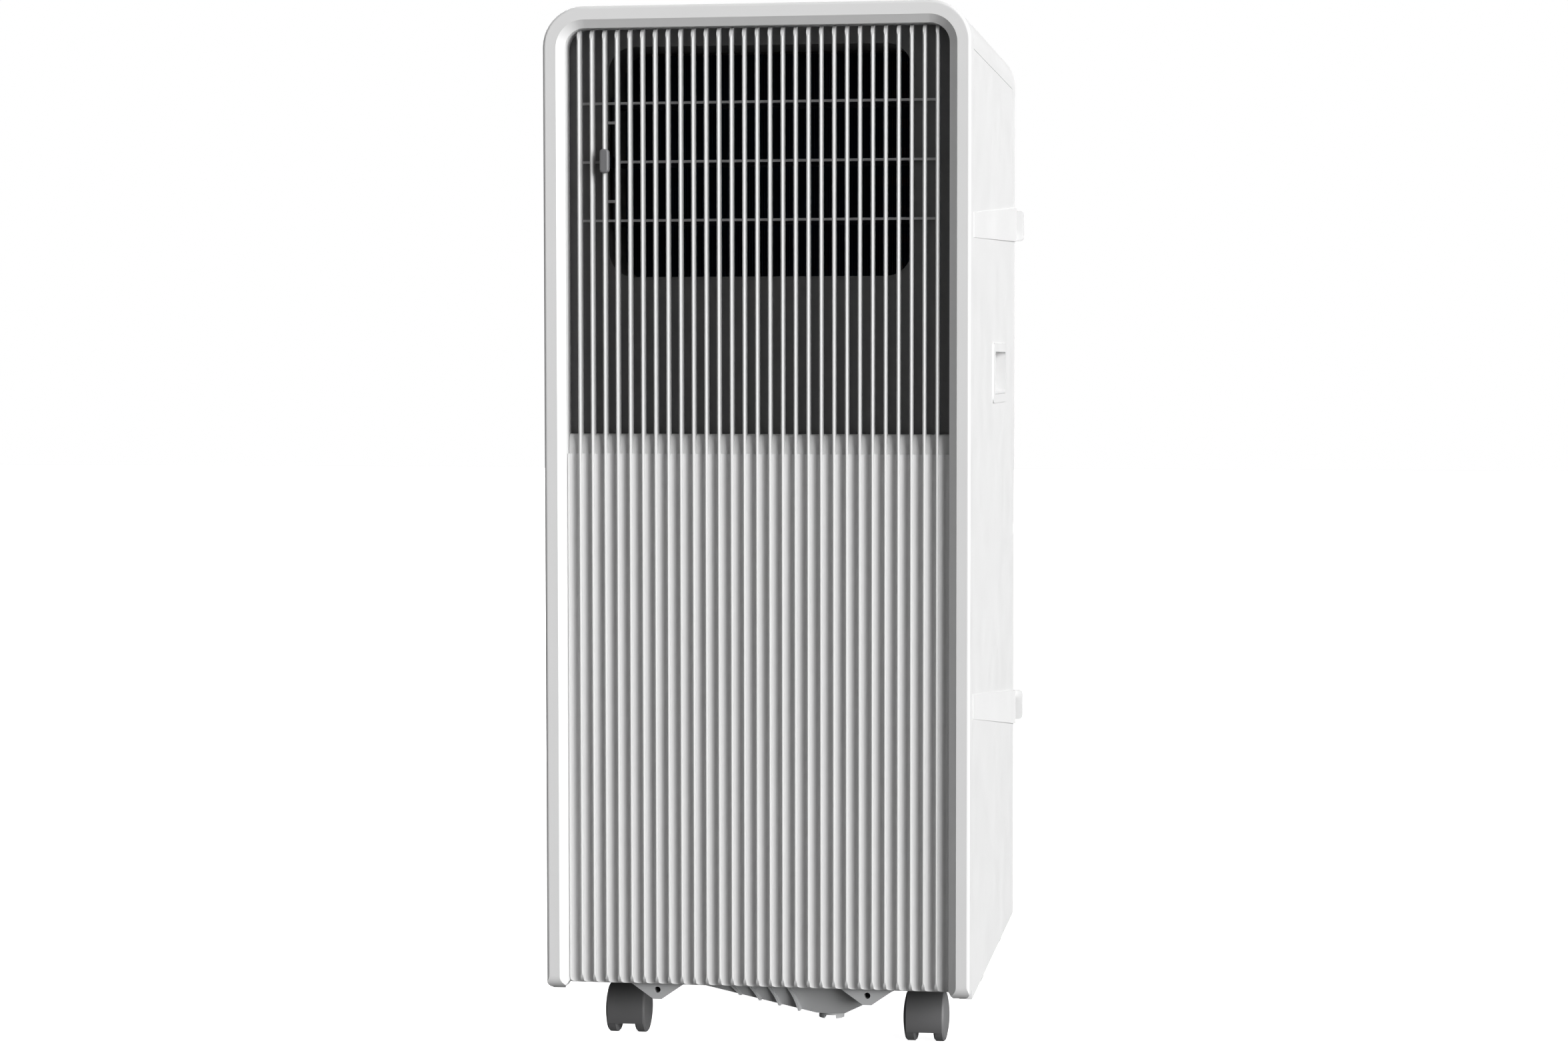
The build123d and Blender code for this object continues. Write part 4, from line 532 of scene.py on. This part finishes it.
def mark_outlines(kind, middle):
    """Outlines of a generic mark, about 6 mm across."""
    x, y = middle
    if kind == "power":
        bar = [(x - 0.35, y + 0.4), (x + 0.35, y + 0.4), (x + 0.35, y + 3.4), (x - 0.35, y + 3.4)]
        return [arc_band(middle, 2.4, 0.7, 125, 415), bar]
    if kind == "mode":
        return [arc_band(middle, 2.3, 0.7, 20 + 120 * n, 110 + 120 * n, 10) for n in range(3)]
    if kind == "speed":
        blades = []
        for n in range(3):
            turn = math.radians(90 + 120 * n)
            blade = ((0.5, -0.3), (1.6, -1.1), (3.0, -0.4), (2.6, 0.6), (1.3, 0.5), (0.4, 0.4))
            blades.append(
                [
                    (
                        x + px * math.cos(turn) - py * math.sin(turn),
                        y + px * math.sin(turn) + py * math.cos(turn),
                    )
                    for px, py in blade
                ]
            )
        return blades
    way = 1 if kind == "up" else -1
    chevron = [(x - 2.6, y - 1.2 * way), (x - 1.8, y - 1.8 * way), (x, y + 0.2 * way)]
    chevron += [(x + 1.8, y - 1.8 * way), (x + 2.6, y - 1.2 * way), (x, y + 1.6 * way)]
    return [chevron if way == 1 else list(reversed(chevron))]


for button, middle in button_middles.items():
    mark = ([], [])
    for outline in mark_outlines(button, (middle.x / MM, middle.y / MM)):
        outline = [(x * MM, y * MM) for x, y in outline]
        add_prism(mark, outline, button_top - PRINT_SINK, button_top + PRINT_SINK)
    make_piece("mark_" + button, mark, "gloss_panel", button + "_button", material=mark_ink)

# ---- floor, lights and camera --------------------------------------------------------------
FLOOR_HALF = 12.0
FLOOR_HEIGHT = -0.2 * MM  # just under the wheels
AMBIENT = 0.13
FLOOR_GLOW = 0.92  # lifts the floor to near white round the unit
FLOOR_COLOURS = ((0.9, 0.9, 0.9), (0.92, 0.92, 0.92))
PLAIN_WHITE = (1, 1, 1, 1)

floor_mesh = bpy.data.meshes.new("floor")
floor_mesh.from_pydata(
    [(x, y, FLOOR_HEIGHT) for x, y in ((-1, -1), (1, -1), (1, 1), (-1, 1))], [], [(0, 1, 2, 3)]
)
floor_mesh.transform(Matrix.Diagonal((FLOOR_HALF, FLOOR_HALF, 1, 1)))
floor = bpy.data.objects.new("floor", floor_mesh)
bpy.context.collection.objects.link(floor)
floor_material, floor_tree, floor_shader = new_material("floor_paint")
floor_clouds = remap(floor_tree, noise(floor_tree, 3, 3), 0, 1)
floor_tone = mix_colours(floor_tree, floor_clouds, *FLOOR_COLOURS)
floor_tree.links.new(floor_tone, floor_shader.inputs["Base Color"])
floor_shader.inputs["Roughness"].default_value = 0.9
floor_shader.inputs["Specular IOR Level"].default_value = 0.1
floor_shader.inputs["Emission Color"].default_value = PLAIN_WHITE
floor_shader.inputs["Emission Strength"].default_value = FLOOR_GLOW
floor_mesh.materials.append(floor_material)
floor.visible_diffuse = False
floor.visible_glossy = False

world = bpy.data.worlds.new("studio")
bpy.context.scene.world = world
world.use_nodes = True
sky = world.node_tree
sky.nodes.clear()
ambient = add_node(sky, "ShaderNodeBackground", {"Color": PLAIN_WHITE, "Strength": AMBIENT})
backdrop = add_node(sky, "ShaderNodeBackground", {"Color": PLAIN_WHITE, "Strength": 1.0})
seen = add_node(sky, "ShaderNodeLightPath")
choose = add_node(sky, "ShaderNodeMixShader")
sky_out = add_node(sky, "ShaderNodeOutputWorld")
sky.links.new(seen.outputs["Is Camera Ray"], choose.inputs["Fac"])
sky.links.new(ambient.outputs["Background"], choose.inputs[1])
sky.links.new(backdrop.outputs["Background"], choose.inputs[2])
sky.links.new(choose.outputs["Shader"], sky_out.inputs["Surface"])


def sun(name, direction, spread, radiance):
    """A broad sun from that direction; a white face square to it shows that radiance."""
    light = bpy.data.lights.new(name, "SUN")
    light.angle = math.radians(spread)
    light.energy = math.pi * radiance
    lamp = bpy.data.objects.new(name, light)
    lamp.rotation_mode = "QUATERNION"
    lamp.rotation_quaternion = (-Vector(direction)).to_track_quat("-Z", "Y")
    bpy.context.collection.objects.link(lamp)


sun("key_light", (0.79, -0.58, 0.20), 50, 1.82)
sun("side_light", (0.95, 0.28, 0.15), 20, 0.22)
sun("back_light", (-0.60, 0.56, 0.57), 40, 1.05)

LENS = 73.308
SENSOR_WIDTH = 36.0
CAMERA_AT = Vector((0.35545, -2.39248, 0.49088))
YAW, PITCH, ROLL = (math.radians(a) for a in (8.699, 2.895, -0.058))

camera_data = bpy.data.cameras.new("camera")
camera_data.lens = LENS
camera_data.sensor_width = SENSOR_WIDTH
camera = bpy.data.objects.new("camera", camera_data)
turn = Matrix.Rotation(YAW, 4, "Z") @ Matrix.Rotation(math.pi / 2 - PITCH, 4, "X")
camera.matrix_world = Matrix.Translation(CAMERA_AT) @ turn @ Matrix.Rotation(ROLL, 4, "Z")
bpy.context.collection.objects.link(camera)
bpy.context.scene.camera = camera
bpy.context.scene.view_settings.view_transform = "Standard"
